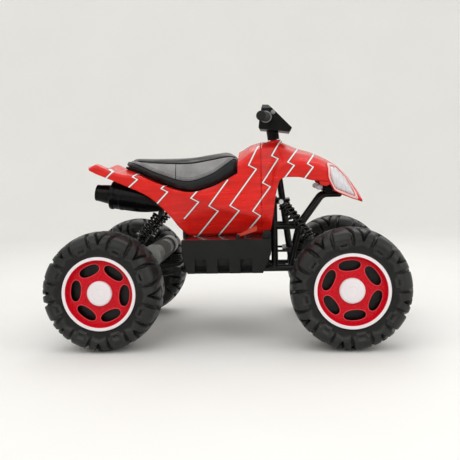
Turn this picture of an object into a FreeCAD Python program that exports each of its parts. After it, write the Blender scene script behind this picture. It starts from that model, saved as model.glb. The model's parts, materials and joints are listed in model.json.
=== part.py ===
import FreeCAD, Part
import math
import os
import Sketcher
from FreeCAD import Placement, Rotation, Vector

# A child's ride-on quad bike. X points forward, Y to the rider's left, Z up, all in millimetres.
# The origin is on the ground, midway between the four wheels.

LENGTHS = {
    # Fits shared by all pieces
    "running_fit": 0.05,
    "seat_gap": 0.3,
    "cut_overrun": 40,
    # Wheels
    "wheel_radius": 165,
    "wheel_base": 680,
    "wheel_track": 500,
    "tyre_width": 150,
    "tread_width": 96,
    "tread_drop": 5,
    "sidewall_radius": 138,
    "lug_height": 8,
    "lug_width": 26,
    "lug_slant": 24,
    "lug_inner_edge": 10,
    "lug_foot_radius": 123,
    "tyre_wall": 10,
    "bead_radius": 107,
    "bead_inset": 5,
    "rim_seat_radius": 104,
    "rim_dish_depth": 16,
    "rim_disc_thickness": 4,
    "rim_lip_width": 11,
    "rim_draft": 6,
    "rim_centre_radius": 16,
    "window_circle": 67,
    "window_length": 60,
    "window_height": 29,
    "boss_circle": 48,
    "boss_radius": 5.5,
    "boss_height": 2,
    "ring_thickness": 3,
    "cap_radius": 34,
    "cap_height": 14,
    "cap_wall": 3,
    "web_depth": 40,
    "web_thickness": 8,
    "hub_radius": 24,
    "hub_reach": 80,
    "axle_radius": 8,
    "axle_tail": 8,
    # Front suspension and steering links
    "kingpin_spread": 300,
    "kingpin_radius": 7,
    "kingpin_tail": 3,
    "knuckle_radius": 14,
    "knuckle_spacer_radius": 12,
    "knuckle_height": 46,
    "ear_thickness": 8,
    "ear_width": 32,
    "fork_gap": 10,
    "fork_post_depth": 14,
    "arm_pivot_spread": 120,
    "arm_pivot_height": 216,
    "arm_pin_radius": 5,
    "arm_barrel_radius": 9,
    "arm_barrel_length": 18,
    "arm_front_reach": 60,
    "arm_leg_radius": 7,
    "arm_bracket_thickness": 4,
    "arm_bracket_gap": 2,
    "arm_bracket_width": 18,
    "arm_bracket_top": 11,
    "pitman_reach": 50,
    "pitman_spread": 20,
    "pitman_thickness": 7,
    "pitman_width": 40,
    "link_pin_radius": 3,
    "link_pin_length": 26,
    "link_eye_radius": 8,
    "link_eye_thickness": 6,
    "link_eye_play": 2.2,
    "link_rod_radius": 4,
    "link_height": 224,
    "knuckle_arm_height": 207,
    "knuckle_arm_thickness": 6,
    "knuckle_arm_width": 16,
    # Front shock absorbers
    "front_shock_top_x": 157,
    "front_shock_top_y": 75,
    "front_shock_top_z": 394,
    "front_shock_foot_back": 28,
    "front_shock_foot_y": 112,
    "front_shock_foot_z": 191,
    "front_spring_radius": 14,
    "front_spring_wire": 4.6,
    "front_spring_length": 118,
    # Rear shock absorbers
    "rear_shock_top_x": -205,
    "rear_shock_top_z": 366,
    "rear_shock_foot_x": -296,
    "rear_shock_foot_z": 262,
    "rear_shock_y": 66,
    "rear_spring_radius": 15,
    "rear_spring_wire": 5,
    "rear_spring_length": 76,
    # Parts common to all shock absorbers
    "shock_eye_radius": 9,
    "shock_eye_width": 13,
    "shock_eye_play": 0.6,
    "shock_foot_play": 1.2,
    "shock_bolt_radius": 4,
    "shock_bolt_head_radius": 7,
    "shock_bolt_head_height": 4,
    "shock_rod_radius": 5,
    "shock_tube_radius": 8,
    "shock_collar_thickness": 4,
    "shock_collar_drop": 13,
    "shock_rod_dip": 8,
    "shock_travel_room": 24,
    "clevis_thickness": 4,
    "clevis_width": 22,
    "clevis_gap": 1.5,
    "front_clevis_inner_gap": 4.5,
    "shock_ball_radius": 6,
    # Steel tube frame
    "rail_spread": 116,
    "rail_height": 193,
    "rail_radius": 10,
    "rail_rear_x": -132,
    "rail_front_x": 420,
    "cross_radius": 8,
    "front_cross_x": 368,
    "post_x": 135,
    "post_top_z": 405,
    "truss_radius": 8,
    "truss_joint_x": 212,
    "truss_joint_z": 318,
    "truss_foot_x": 180,
    "nose_bend_x": 281,
    "nose_bend_z": 412,
    "nose_tip_x": 330,
    "stay_height": 245,
    "stay_radius": 3.5,
    "bearing_plate_thickness": 8,
    "bearing_plate_width": 44,
    "lower_bearing_height": 250,
    "shock_bracket_thickness": 6,
    "shock_bracket_height": 14,
    "upper_rail_spread": 100,
    "upper_rail_radius": 9,
    "upper_rail_front_z": 392,
    "upper_rail_rear_z": 384,
    "upper_rail_rear_x": -236,
    "rear_post_x": -134,
    # Rear swing arm and drive
    "swing_pivot_x": -156,
    "swing_pivot_radius": 8,
    "swing_pivot_spread": 200,
    "swing_barrel_radius": 13,
    "swing_barrel_length": 24,
    "swing_tube_radius": 9,
    "swing_ear_thickness": 6,
    "axle_housing_radius": 16,
    "axle_housing_spread": 208,
    "gearbox_foot_radius": 42,
    "gearbox_head_radius": 30,
    "gearbox_width": 54,
    "motor_x": -222,
    "motor_z": 247,
    "motor_radius": 24,
    "motor_length": 54,
    # Tub, footboards and what lies in them
    "tub_rear_x": -122,
    "tub_front_x": 118,
    "tub_half_width": 90,
    "tub_height": 92,
    "tub_wall": 4,
    "footboard_half_width": 225,
    "footboard_top_z": 298,
    "footboard_bottom_z": 203,
    "footboard_rear_x": -124,
    "footboard_front_x": 126,
    "footboard_rear_rake": 15,
    "footboard_front_rake": 23,
    "footboard_wall": 5,
    "footboard_skirt": 24,
    "recess_depth": 12,
    "recess_length": 33,
    "recess_height": 42,
    "recess_pitch": 64,
    "recess_first_x": -88,
    "battery_length": 150,
    "battery_width": 92,
    "battery_height": 84,
    "battery_rear_x": -100,
    "control_length": 50,
    "control_width": 70,
    "control_height": 28,
    "control_rear_x": 60,
    # Accelerator pedal
    "pedal_hinge_x": 33,
    "pedal_y": -172,
    "pedal_length": 58,
    "pedal_width": 46,
    "pedal_rise": 25,
    "pedal_thickness": 5,
    "pedal_barrel_radius": 5.5,
    "pedal_pin_radius": 2.5,
    "pedal_ear_thickness": 5,
    "pedal_ear_width": 10,
    # Body shells
    "shell_wall": 3,
    "shell_tail_x": -400,
    "shell_seam_x": 100,
    "shell_rise": 276,
    "shell_half_width": 150,
    "cowl_length": 301,
    "cowl_half_width": 140,
    "seam_gap": 0.6,
    "column_play": 4,
    # Headlights in the cowl
    "lamp_length": 94,
    "lamp_height": 112,
    "lamp_rear_x": 290,
    "lamp_bottom_z": 394,
    "lamp_inner_y": 45,
    # Seat
    "seat_rear_x": -310,
    "seat_front_x": 31,
    "seat_low_z": 436,
    "seat_rise": 108,
    "seat_half_width": 125,
    "seat_base_thickness": 6,
    "seat_base_half_width": 84,
    "seat_seam_depth": 2.5,
    "seat_seam_width": 4,
    "seat_band_height": 25,
    # Exhaust mufflers
    "muffler_y": 104,
    "muffler_ring_x": -346,
    "muffler_ring_z": 426,
    "muffler_front_x": -178,
    "muffler_front_z": 398,
    "muffler_radius": 40,
    "muffler_front_radius": 24,
    "muffler_ring_radius": 42,
    "muffler_ring_length": 12,
    "muffler_tip_length": 46,
    "muffler_tip_radius": 29,
    "muffler_mouth_radius": 23,
    "muffler_mouth_wall": 3,
    "muffler_mouth_depth": 30,
    "muffler_bracket_length": 16,
    # Steering column and handlebar
    "steer_head_x": 129,
    "steer_head_z": 646,
    "shaft_radius": 10,
    "shaft_length": 458,
    "shaft_top_gap": 18,
    "shroud_radius": 18,
    "shroud_top_drop": 34,
    "shroud_length": 32,
    "bar_radius": 11,
    "bar_centre_x": 126,
    "bar_centre_z": 642,
    "bar_straight": 150,
    "bar_end_x": 107,
    "bar_end_z": 634,
    "bar_span": 520,
    "grip_radius": 15,
    "grip_length": 112,
    "grip_flange_radius": 20,
    "grip_flange_length": 5,
    "grip_cap": 4,
    "cover_rear_x": 94,
    "cover_length": 99,
    "cover_bottom_z": 600,
    "cover_height": 84,
    "cover_width": 128,
    "button_radius": 7,
    "button_length": 14,
    "button_out": 4,
    "button_travel": 2.5,
    "button_x": 138,
    "button_z": 659,
}

COUNTS_AND_ANGLES = {
    "lug_count": 18,
    "window_count": 6,
    "recess_count": 3,
    "front_spring_turns": 8,
    "rear_spring_turns": 6,
    "steer_rake": 7.4,
    "front_rim_phase": 5.4,
    "rear_rim_phase": 24,
}

# Side view of the body, as shares of its length and rise: place along the body, then for the half section
# the centre height, and width and height of the shoulder, the crease and the bottom edge.
REAR_SHELL_SHARES = [
    (0.000, 0.750, 0.87, 0.775, 0.985, 0.757, 0.985, 0.731),
    (0.048, 0.762, 0.85, 0.793, 1.000, 0.775, 1.000, 0.681),
    (0.194, 0.762, 0.75, 0.725, 1.000, 0.698, 1.000, 0.572),
    (0.344, 0.752, 0.79, 0.660, 0.980, 0.638, 0.980, 0.438),
    (0.474, 0.732, 0.79, 0.615, 0.930, 0.515, 0.905, 0.210),
    (0.526, 0.732, 0.79, 0.605, 0.880, 0.460, 0.790, 0.079),
    (0.580, 0.732, 0.79, 0.595, 0.853, 0.425, 0.670, 0.000),
    (0.760, 0.804, 0.77, 0.660, 0.840, 0.340, 0.640, 0.000),
    (0.880, 0.906, 0.69, 0.786, 0.827, 0.262, 0.640, 0.000),
    (0.944, 0.970, 0.64, 0.870, 0.827, 0.232, 0.653, 0.000),
    (1.000, 0.996, 0.613, 0.920, 0.840, 0.210, 0.693, 0.000),
]
FRONT_COWL_SHARES = [
    (0.000, 0.996, 0.657, 0.920, 0.900, 0.210, 0.743, 0.000),
    (0.037, 0.996, 0.657, 0.923, 0.914, 0.298, 0.790, 0.022),
    (0.080, 0.998, 0.671, 0.926, 0.943, 0.406, 0.871, 0.065),
    (0.103, 0.998, 0.679, 0.928, 0.957, 0.480, 0.914, 0.174),
    (0.136, 1.000, 0.686, 0.930, 0.986, 0.623, 0.971, 0.424),
    (0.176, 1.000, 0.700, 0.930, 1.000, 0.732, 1.000, 0.573),
    (0.239, 0.975, 0.714, 0.912, 1.000, 0.768, 1.000, 0.611),
    (0.349, 0.922, 0.714, 0.868, 0.993, 0.760, 0.993, 0.609),
    (0.492, 0.871, 0.693, 0.830, 0.971, 0.732, 0.971, 0.572),
    (0.631, 0.800, 0.643, 0.760, 0.929, 0.684, 0.929, 0.556),
    (0.701, 0.753, 0.600, 0.716, 0.900, 0.622, 0.900, 0.462),
    (0.797, 0.658, 0.543, 0.629, 0.829, 0.535, 0.829, 0.412),
    (0.897, 0.528, 0.471, 0.506, 0.743, 0.433, 0.743, 0.364),
    (0.970, 0.405, 0.414, 0.390, 0.671, 0.361, 0.671, 0.336),
    (1.000, 0.339, 0.386, 0.332, 0.629, 0.325, 0.629, 0.317),
]
# The line that the seat rests on: place along the seat and height above its lowest point.
SADDLE_SHARES = [
    (0.000, 0.690),
    (0.141, 0.519),
    (0.323, 0.250),
    (0.592, 0.000),
    (0.774, 0.125),
    (0.909, 0.324),
    (1.000, 0.481),
]
# Sections of the cushion: place along the seat, top height and half width.
CUSHION_SHARES = [
    (0.000, 0.735, 0.52),
    (0.035, 0.835, 0.66),
    (0.110, 0.868, 0.82),
    (0.270, 0.855, 0.96),
    (0.440, 0.852, 1.00),
    (0.592, 0.868, 1.00),
    (0.774, 0.944, 0.96),
    (0.909, 0.990, 0.88),
    (0.973, 0.940, 0.80),
    (1.000, 0.800, 0.74),
]
CUSHION_SIDE_HEIGHT_SHARE = 0.45
CUSHION_EDGE_WIDTH_SHARE = 0.90
CUSHION_EDGE_HEIGHT_SHARE = 0.84
CUSHION_FOOT_WIDTH_SHARE = 0.95
SEAM_PLACE_SHARE = 0.47
# Outline of the lamp in side view, and of the handlebar cover, as shares of their length and height.
LAMP_OUTLINE_SHARES = [
    (0.00, 1.00),
    (0.04, 0.60),
    (0.22, 0.28),
    (0.98, 0.02),
    (0.63, 0.62),
    (0.27, 0.95),
]
COVER_OUTLINE_SHARES = [
    (0.12, 1.00),
    (0.30, 0.99),
    (1.00, 0.15),
    (0.92, 0.00),
    (0.54, 0.07),
    (0.03, 0.13),
    (0.00, 0.18),
    (0.03, 0.47),
]
COVER_FRONT_SHARES = [(-1, 0), (1, 0), (1, 0.85), (0.66, 1), (-0.66, 1), (-1, 0.85)]
LAMP_LENS_SHARE = 0.76
INNER_RUN_SHARE = 0.3
SHOULDER_BULGE_SHARE = 0.66
LUG_PITCH_OFFSET_SHARE = 0.5
MUFFLER_TAPER_SHARE = 0.6
RING_BEVEL_SHARE = 1 / 3
ARM_LEG_RISE_SHARE = 0.25
SPRING_SAMPLES_PER_TURN = 24

doc = FreeCAD.newDocument("kids_quad_bike")
sheet = doc.addObject("Spreadsheet::Sheet", "sizes")
for row, (alias, number) in enumerate({**LENGTHS, **COUNTS_AND_ANGLES}.items(), start=1):
    sheet.set(f"A{row}", alias)
    sheet.set(f"B{row}", str(number))
    sheet.setAlias(f"B{row}", alias)
doc.recompute()


class Size:
    """A size from the sheet, or worked out from several: its value now and the expression that holds it."""

    def __init__(self, value, text):
        self.value = value
        self.text = text

    def _joined(self, other, sign, value):
        return Size(value, f"({self.text} {sign} {other.text})")

    def __add__(self, other):
        other = as_size(other)
        return self._joined(other, "+", self.value + other.value)

    def __sub__(self, other):
        other = as_size(other)
        return self._joined(other, "-", self.value - other.value)

    def __mul__(self, other):
        other = as_size(other)
        return self._joined(other, "*", self.value * other.value)

    def __truediv__(self, other):
        other = as_size(other)
        return self._joined(other, "/", self.value / other.value)

    def __neg__(self):
        return Size(-self.value, f"(0 - {self.text})")

    __radd__ = __add__
    __rmul__ = __mul__


def as_size(number):
    return number if isinstance(number, Size) else Size(number, repr(number))


class Sheet:
    """The sizes in the sheet by alias, each bound to its cell."""

    def __getattr__(self, alias):
        return Size(float(sheet.get(alias)), f"sizes.{alias}")


class Numbers:
    """The same sizes as plain numbers, for places and for shapes made directly."""

    def __getattr__(self, alias):
        return float(sheet.get(alias))


S = Sheet()
N = Numbers()
NODES = []
ACROSS = Vector(0, 1, 0)
UP = Vector(0, 0, 1)
ALONG = Vector(1, 0, 0)
MID = Vector(0, 0, 0)


def node(thing, label):
    """Marks a finished object as one of the named pieces."""
    thing.Label = label
    NODES.append(thing)
    return thing


# Ways to make objects


def new_body(name):
    return doc.addObject("PartDesign::Body", name)


def origin_plane(body, role):
    return next(f for f in body.Origin.OriginFeatures if f.Role == role)


def new_sketch(body, name, plane, offset=None):
    sketch = body.newObject("Sketcher::SketchObject", name)
    sketch.AttachmentSupport = (origin_plane(body, plane), [""])
    sketch.MapMode = "FlatFace"
    if offset is not None:
        sketch.setExpression("AttachmentOffset.Base.z", offset.text)
    return sketch


def hold(sketch, kind, geometry, point, size, name):
    """Holds one coordinate of a sketch point at a size from the sheet."""
    index = sketch.addConstraint(Sketcher.Constraint(kind, -1, 1, geometry, point, size.value))
    sketch.renameConstraint(index, name)
    sketch.setExpression(f"Constraints.{name}", size.text)


def draw_outline(sketch, corners):
    """A closed outline of straight lines through corners given as pairs of sizes."""
    corners = [(as_size(x), as_size(y)) for x, y in corners]
    first = sketch.GeometryCount
    count = len(corners)
    for index, (x, y) in enumerate(corners):
        next_x, next_y = corners[(index + 1) % count]
        line = Part.LineSegment(Vector(x.value, y.value, 0), Vector(next_x.value, next_y.value, 0))
        sketch.addGeometry(line, False)
    for index in range(count):
        following = first + (index + 1) % count
        sketch.addConstraint(Sketcher.Constraint("Coincident", first + index, 2, following, 1))
    for index, (x, y) in enumerate(corners):
        hold(sketch, "DistanceX", first + index, 1, x, f"x{first + index}")
        hold(sketch, "DistanceY", first + index, 1, y, f"y{first + index}")


def draw_slot(sketch, centre, length, height):
    """An oval window with round ends, its long side along the sketch's X."""
    end = (length - height) / 2
    radius = height / 2
    cx, cy = centre
    left, right = cx.value - end.value, cx.value + end.value
    low, high = cy.value - radius.value, cy.value + radius.value
    quarter = math.pi / 2
    sketch.addGeometry(Part.LineSegment(Vector(left, high, 0), Vector(right, high, 0)), False)
    right_round = Part.Circle(Vector(right, cy.value, 0), UP, radius.value)
    sketch.addGeometry(Part.ArcOfCircle(right_round, -quarter, quarter), False)
    sketch.addGeometry(Part.LineSegment(Vector(right, low, 0), Vector(left, low, 0)), False)
    left_round = Part.Circle(Vector(left, cy.value, 0), UP, radius.value)
    sketch.addGeometry(Part.ArcOfCircle(left_round, quarter, 3 * quarter), False)
    for first, first_point, second, second_point in ((0, 2, 1, 2), (1, 1, 2, 1), (2, 2, 3, 2), (3, 1, 0, 1)):
        sketch.addConstraint(Sketcher.Constraint("Tangent", first, first_point, second, second_point))
    hold(sketch, "DistanceX", 1, 3, cx + end, "right_x")
    hold(sketch, "DistanceX", 3, 3, cx - end, "left_x")
    hold(sketch, "DistanceY", 1, 3, cy, "right_y")
    hold(sketch, "DistanceY", 3, 3, cy, "left_y")
    index = sketch.addConstraint(Sketcher.Constraint("Radius", 1, radius.value))
    sketch.renameConstraint(index, "round")
    sketch.setExpression("Constraints.round", radius.text)


def draw_circle(sketch, centre, radius):
    cx, cy = as_size(centre[0]), as_size(centre[1])
    index = sketch.addGeometry(Part.Circle(Vector(cx.value, cy.value, 0), UP, radius.value), False)
    hold(sketch, "DistanceX", index, 3, cx, f"centre_x{index}")
    hold(sketch, "DistanceY", index, 3, cy, f"centre_y{index}")
    held = sketch.addConstraint(Sketcher.Constraint("Radius", index, radius.value))
    sketch.renameConstraint(held, f"radius{index}")
    sketch.setExpression(f"Constraints.radius{index}", radius.text)


def pad(body, sketch, length, name, middle=False, backward=False):
    feature = body.newObject("PartDesign::Pad", name)
    feature.Profile = sketch
    feature.Midplane = middle
    feature.Reversed = backward
    feature.setExpression("Length", length.text)
    return feature


def pocket(body, sketch, length, name, middle=False, backward=False):
    feature = body.newObject("PartDesign::Pocket", name)
    feature.Profile = sketch
    feature.Midplane = middle
    feature.Reversed = backward
    feature.setExpression("Length", length.text)
    return feature


def turned_body(name, corners):
    """A body turned about its own Y axis from corners given as radius and place along the axis."""
    body = new_body(name)
    sketch = new_sketch(body, f"{name}_section", "XY_Plane")
    draw_outline(sketch, corners)
    turn = body.newObject("PartDesign::Revolution", f"{name}_turned")
    turn.Profile = sketch
    turn.ReferenceAxis = (sketch, ["V_Axis"])
    return body


def polar_pattern(body, features, axis_owner, count, name):
    pattern = body.newObject("PartDesign::PolarPattern", name)
    pattern.Originals = features
    pattern.Axis = (axis_owner, ["N_Axis"])
    pattern.Angle = 360
    pattern.setExpression("Occurrences", count.text)
    body.Tip = pattern
    return pattern


def upright(start, direction):
    """A placement at a point with Z turned into a direction."""
    return Placement(start, Rotation(UP, direction))


def rod(name, start, end, radius):
    """A round bar from one point to another."""
    bar = doc.addObject("Part::Cylinder", name)
    bar.setExpression("Radius", radius.text)
    run = end - start
    bar.Height = run.Length
    bar.Placement = upright(start, run)
    return bar


def disc(name, centre, direction, radius, thickness):
    """A round piece of a bound radius and thickness, centred on a point."""
    piece = doc.addObject("Part::Cylinder", name)
    piece.setExpression("Radius", radius.text)
    piece.setExpression("Height", thickness.text)
    unit = Vector(direction).normalize()
    piece.Placement = upright(centre - unit * (thickness.value / 2), unit)
    return piece


def ball(name, centre, radius):
    knob = doc.addObject("Part::Sphere", name)
    knob.setExpression("Radius", radius.text)
    knob.Placement = Placement(centre, Rotation())
    return knob


def block(name, centre, length, width, height, rotation=None):
    """A box of bound length, width and height (X, Y, Z), centred on a point."""
    box = doc.addObject("Part::Box", name)
    box.setExpression("Length", length.text)
    box.setExpression("Width", width.text)
    box.setExpression("Height", height.text)
    turn = rotation or Rotation()
    half = Vector(length.value / 2, width.value / 2, height.value / 2)
    box.Placement = Placement(centre - turn.multVec(half), turn)
    return box


def link_plate(name, start, end, width, thickness):
    """A flat bar with round ends, standing in a plane of constant Y between two points."""
    run = end - start
    bar = doc.addObject("Part::Box", f"{name}_bar")
    bar.Length = run.Length
    bar.setExpression("Width", thickness.text)
    bar.setExpression("Height", width.text)
    turn = Rotation(ALONG, run)
    corner = turn.multVec(Vector(0, -thickness.value / 2, -width.value / 2))
    bar.Placement = Placement(start + corner, turn)
    first_end = disc(f"{name}_first_end", start, ACROSS, width / 2, thickness)
    last_end = disc(f"{name}_last_end", end, ACROSS, width / 2, thickness)
    return fuse(name, [bar, first_end, last_end])


def fuse(name, pieces):
    union = doc.addObject("Part::MultiFuse", name)
    union.Shapes = pieces
    union.Refine = True
    return union


def cut(name, base, tools):
    """The base less one tool or several."""
    tool = tools[0] if len(tools) == 1 else fuse(f"{name}_tools", tools)
    difference = doc.addObject("Part::Cut", name)
    difference.Base = base
    difference.Tool = tool
    difference.Refine = True
    return difference


def mirrored(name, source):
    """The same piece on the other side of the bike."""
    twin = doc.addObject("Part::Mirroring", name)
    twin.Source = source
    twin.Normal = ACROSS
    twin.Base = MID
    return twin


def group(name, pieces):
    bundle = doc.addObject("Part::Compound", name)
    bundle.Links = pieces
    return bundle


def raw(name, shape, placement=None):
    """A shape made directly; its sizes are read from the sheet by the code that makes it."""
    piece = doc.addObject("Part::Feature", name)
    piece.Shape = shape
    if placement is not None:
        piece.Placement = placement
    return piece


# Wheels

HALF_BASE = N.wheel_base / 2
HALF_TRACK = N.wheel_track / 2
WHEEL_PLACES = {
    "front_left": (HALF_BASE, HALF_TRACK, N.front_rim_phase),
    "front_right": (HALF_BASE, -HALF_TRACK, N.front_rim_phase),
    "rear_left": (-HALF_BASE, HALF_TRACK, N.rear_rim_phase),
    "rear_right": (-HALF_BASE, -HALF_TRACK, N.rear_rim_phase),
}
# Places along the wheel's own axis, outboard from the mid-plane.
rim_face = S.tyre_width / 2 - S.bead_inset - S.ring_thickness
rim_back = rim_face - S.rim_dish_depth - S.rim_disc_thickness
disc_face = rim_face - S.rim_dish_depth
web_face = S.tyre_width / 2 - S.bead_inset - S.web_depth


def tread_outline(half_width, sink, side_sink):
    """The tyre's outer edge from bead to bead; sink lowers the tread and side_sink the upper sidewall."""
    tread_half = N.tread_width / 2 - sink / 2
    crown = N.wheel_radius - sink
    edge = crown - N.tread_drop
    side = half_width - side_sink
    bead = half_width - N.bead_inset
    low = N.sidewall_radius - side_sink
    bulge_r = low + (edge - low) * SHOULDER_BULGE_SHARE
    bulge_a = tread_half + (side - tread_half) * SHOULDER_BULGE_SHARE
    return [
        Part.LineSegment(Vector(N.bead_radius, -bead, 0), Vector(low, -side, 0)),
        Part.Arc(Vector(low, -side, 0), Vector(bulge_r, -bulge_a, 0), Vector(edge, -tread_half, 0)),
        Part.Arc(Vector(edge, -tread_half, 0), Vector(crown, 0, 0), Vector(edge, tread_half, 0)),
        Part.Arc(Vector(edge, tread_half, 0), Vector(bulge_r, bulge_a, 0), Vector(low, side, 0)),
        Part.LineSegment(Vector(low, side, 0), Vector(N.bead_radius, bead, 0)),
    ]


def closed_turning(edges, corners):
    """A solid turned about Y from an open run of edges, closed through straight corners."""
    start = edges[0].StartPoint
    end = edges[-1].EndPoint
    points = [end, *[Vector(r, a, 0) for r, a in corners], start]
    lines = [Part.LineSegment(p, q) for p, q in zip(points, points[1:])]
    wire = Part.Wire([e.toShape() for e in [*edges, *lines]])
    return Part.Face(wire).revolve(MID, ACROSS, 360)


def tyre_shape():
    half = N.tyre_width / 2
    bead = half - N.bead_inset
    barrel = N.rim_seat_radius + N.tyre_wall
    inner = N.wheel_radius - N.lug_height - N.tyre_wall
    hollow = half - N.tyre_wall - N.bead_inset
    shoulder = N.sidewall_radius - N.tyre_wall
    crown_half = N.tread_width / 2 - N.tyre_wall
    bore = N.axle_radius + N.running_fit
    web_back = web_face.value - N.web_thickness
    carcass = closed_turning(
        tread_outline(half, N.lug_height, N.lug_height / 2),
        [
            (N.rim_seat_radius, bead),
            (N.rim_seat_radius, web_face.value),
            (N.hub_radius, web_face.value),
            (N.hub_radius, rim_back.value),
            (bore, rim_back.value),
            (bore, -N.hub_reach),
            (N.hub_radius, -N.hub_reach),
            (N.hub_radius, web_back),
            (barrel, web_back),
            (barrel, hollow),
            (shoulder, hollow),
            (inner, crown_half),
            (inner, -crown_half),
            (shoulder, -hollow),
            (N.bead_radius, -hollow),
        ],
    )
    envelope = closed_turning(tread_outline(half, 0, 0), [])
    near, far = N.lug_inner_edge, half + N.cut_overrun
    back = -N.lug_slant
    corners = [(back, near), (back + N.lug_width, near), (N.lug_width, far), (0, far)]
    outline = [Vector(x, y, N.lug_foot_radius) for x, y in corners]
    prism = Part.Face(Part.makePolygon([*outline, outline[0]])).extrude(UP * N.wheel_radius)
    root_sink = N.lug_height + N.tyre_wall / 2
    root = closed_turning(tread_outline(half - N.tyre_wall / 2, root_sink, N.lug_height / 2), [])
    lug = prism.common(envelope).cut(root)
    pitch = 360 / N.lug_count
    lugs = []
    for index in range(int(N.lug_count)):
        outer = lug.copy()
        outer.rotate(MID, ACROSS, index * pitch)
        inner_lug = lug.mirror(MID, ACROSS)
        inner_lug.rotate(MID, ACROSS, (index + LUG_PITCH_OFFSET_SHARE) * pitch)
        lugs += [outer, inner_lug]
    return carcass.multiFuse(lugs).Solids[0]


def rim_body(name):
    outer = S.rim_seat_radius - S.seat_gap
    inner = outer - S.rim_lip_width
    body = turned_body(
        name,
        [
            (S.rim_centre_radius, rim_back),
            (outer, rim_back),
            (outer, rim_face),
            (inner, rim_face),
            (inner - S.rim_draft, disc_face),
            (S.rim_centre_radius, disc_face),
        ],
    )
    windows = new_sketch(body, f"{name}_window", "XZ_Plane")
    draw_slot(windows, (as_size(0), S.window_circle), S.window_length, S.window_height)
    opening = pocket(body, windows, S.tyre_width * 2, f"{name}_opening", middle=True)
    polar_pattern(body, [opening], windows, S.window_count, f"{name}_openings")
    bosses = new_sketch(body, f"{name}_boss_place", "XZ_Plane", -disc_face)
    step = math.pi / N.window_count
    draw_circle(bosses, (S.boss_circle * math.sin(step), S.boss_circle * math.cos(step)), S.boss_radius)
    boss = pad(body, bosses, S.boss_height, f"{name}_boss", backward=True)
    polar_pattern(body, [boss], bosses, S.window_count, f"{name}_bosses")
    return body


def ring_body(name):
    outer = S.rim_seat_radius - S.seat_gap
    inner = outer - S.rim_lip_width
    bevel = S.ring_thickness * RING_BEVEL_SHARE
    face = rim_face + S.ring_thickness
    return turned_body(
        name,
        [
            (inner, rim_face),
            (outer, rim_face),
            (outer, face - bevel),
            (outer - bevel, face),
            (inner + bevel, face),
            (inner, face - bevel),
        ],
    )


def cap_body(name):
    top = disc_face + S.cap_height
    wall = S.cap_wall
    flat = S.cap_radius / 2
    return turned_body(
        name,
        [
            (0, top),
            (flat, top),
            (S.cap_radius, top - S.cap_height / 2),
            (S.cap_radius, disc_face),
            (S.cap_radius - wall, disc_face),
            (S.cap_radius - wall, top - S.cap_height / 2),
            (flat, top - wall),
            (0, top - wall),
        ],
    )


def make_wheels():
    tyre = tyre_shape()
    for place, (x, y, phase) in WHEEL_PLACES.items():
        side = Rotation(UP, 0 if y > 0 else 180)
        centre = Vector(x, y, N.wheel_radius)
        spin = Rotation(ACROSS, -phase if y > 0 else phase)
        node(raw(f"tyre_{place}", tyre, Placement(centre, side)), f"tyre_{place}")
        for kind, make in (("rim", rim_body), ("wheel_ring", ring_body), ("hub_cap", cap_body)):
            body = make(f"{kind}_{place}")
            body.Placement = Placement(centre, side.multiply(spin))
            node(body, f"{kind}_{place}")


# Steel tube frame

RAIL_Y = N.rail_spread / 2
RAKE = Rotation(ACROSS, -N.steer_rake)
STEER_HEAD = Vector(N.steer_head_x, 0, N.steer_head_z)
STEER_UP = RAKE.multVec(UP)
KINGPIN_Y = N.kingpin_spread / 2
ARM_PIVOT = Vector(HALF_BASE, N.arm_pivot_spread / 2, N.arm_pivot_height)


def on_column(z):
    """The point of the steering axis at a height above the ground."""
    return STEER_HEAD + STEER_UP * ((z - STEER_HEAD.z) / STEER_UP.z)


def arm_barrel_places():
    """Where the two hinge barrels of a front arm stand along the bike."""
    return HALF_BASE, HALF_BASE + N.arm_front_reach


def make_lower_frame():
    pieces = []
    tools = []
    for side, y in (("left", RAIL_Y), ("right", -RAIL_Y)):
        start = Vector(N.rail_rear_x, y, N.rail_height)
        finish = Vector(N.rail_front_x, y, N.rail_height)
        pieces.append(rod(f"lower_rail_{side}", start, finish, S.rail_radius))
        pivot_y = math.copysign(ARM_PIVOT.y, y)
        reach = N.arm_barrel_length / 2 + N.arm_bracket_gap + N.arm_bracket_thickness / 2
        for barrel, x in enumerate(arm_barrel_places()):
            # The front barrel's leg runs backward, so only one bracket holds it, from ahead.
            for end, offset in enumerate((reach,) if barrel else (-reach, reach)):
                height = S.arm_pivot_height - S.rail_height + S.arm_bracket_top
                centre = Vector(x + offset, pivot_y, N.rail_height + height.value / 2)
                name = f"arm_bracket_{side}_{barrel}{end}"
                pieces.append(block(name, centre, S.arm_bracket_thickness, S.arm_bracket_width, height))
        bore_start = Vector(HALF_BASE - N.arm_front_reach, pivot_y, N.arm_pivot_height)
        bore_end = Vector(HALF_BASE + 2 * N.arm_front_reach, pivot_y, N.arm_pivot_height)
        tools.append(rod(f"arm_pin_bore_{side}", bore_start, bore_end, S.arm_pin_radius))
    for name, x in (("rear", N.rail_rear_x), ("axle", N.front_cross_x), ("front", N.rail_front_x)):
        ends = [Vector(x, y, N.rail_height) for y in (-RAIL_Y, RAIL_Y)]
        pieces.append(rod(f"lower_cross_{name}", ends[0], ends[1], S.cross_radius))
    for side, y in (("left", RAIL_Y), ("right", -RAIL_Y)):
        ear_start = Vector(N.rail_rear_x, y, N.rail_height)
        ear_end = Vector(N.swing_pivot_x, y, N.rail_height)
        pieces.append(
            link_plate(f"swing_ear_{side}", ear_start, ear_end, S.rail_radius * 2, S.swing_ear_thickness)
        )
    half = Vector(0, N.swing_pivot_spread / 2, 0)
    pivot = Vector(N.swing_pivot_x, 0, N.rail_height)
    pieces.append(rod("swing_pivot_shaft", pivot - half, pivot + half, S.swing_pivot_radius))
    return node(cut("lower_frame", fuse("lower_frame_tubes", pieces), tools), "lower_frame")


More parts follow.
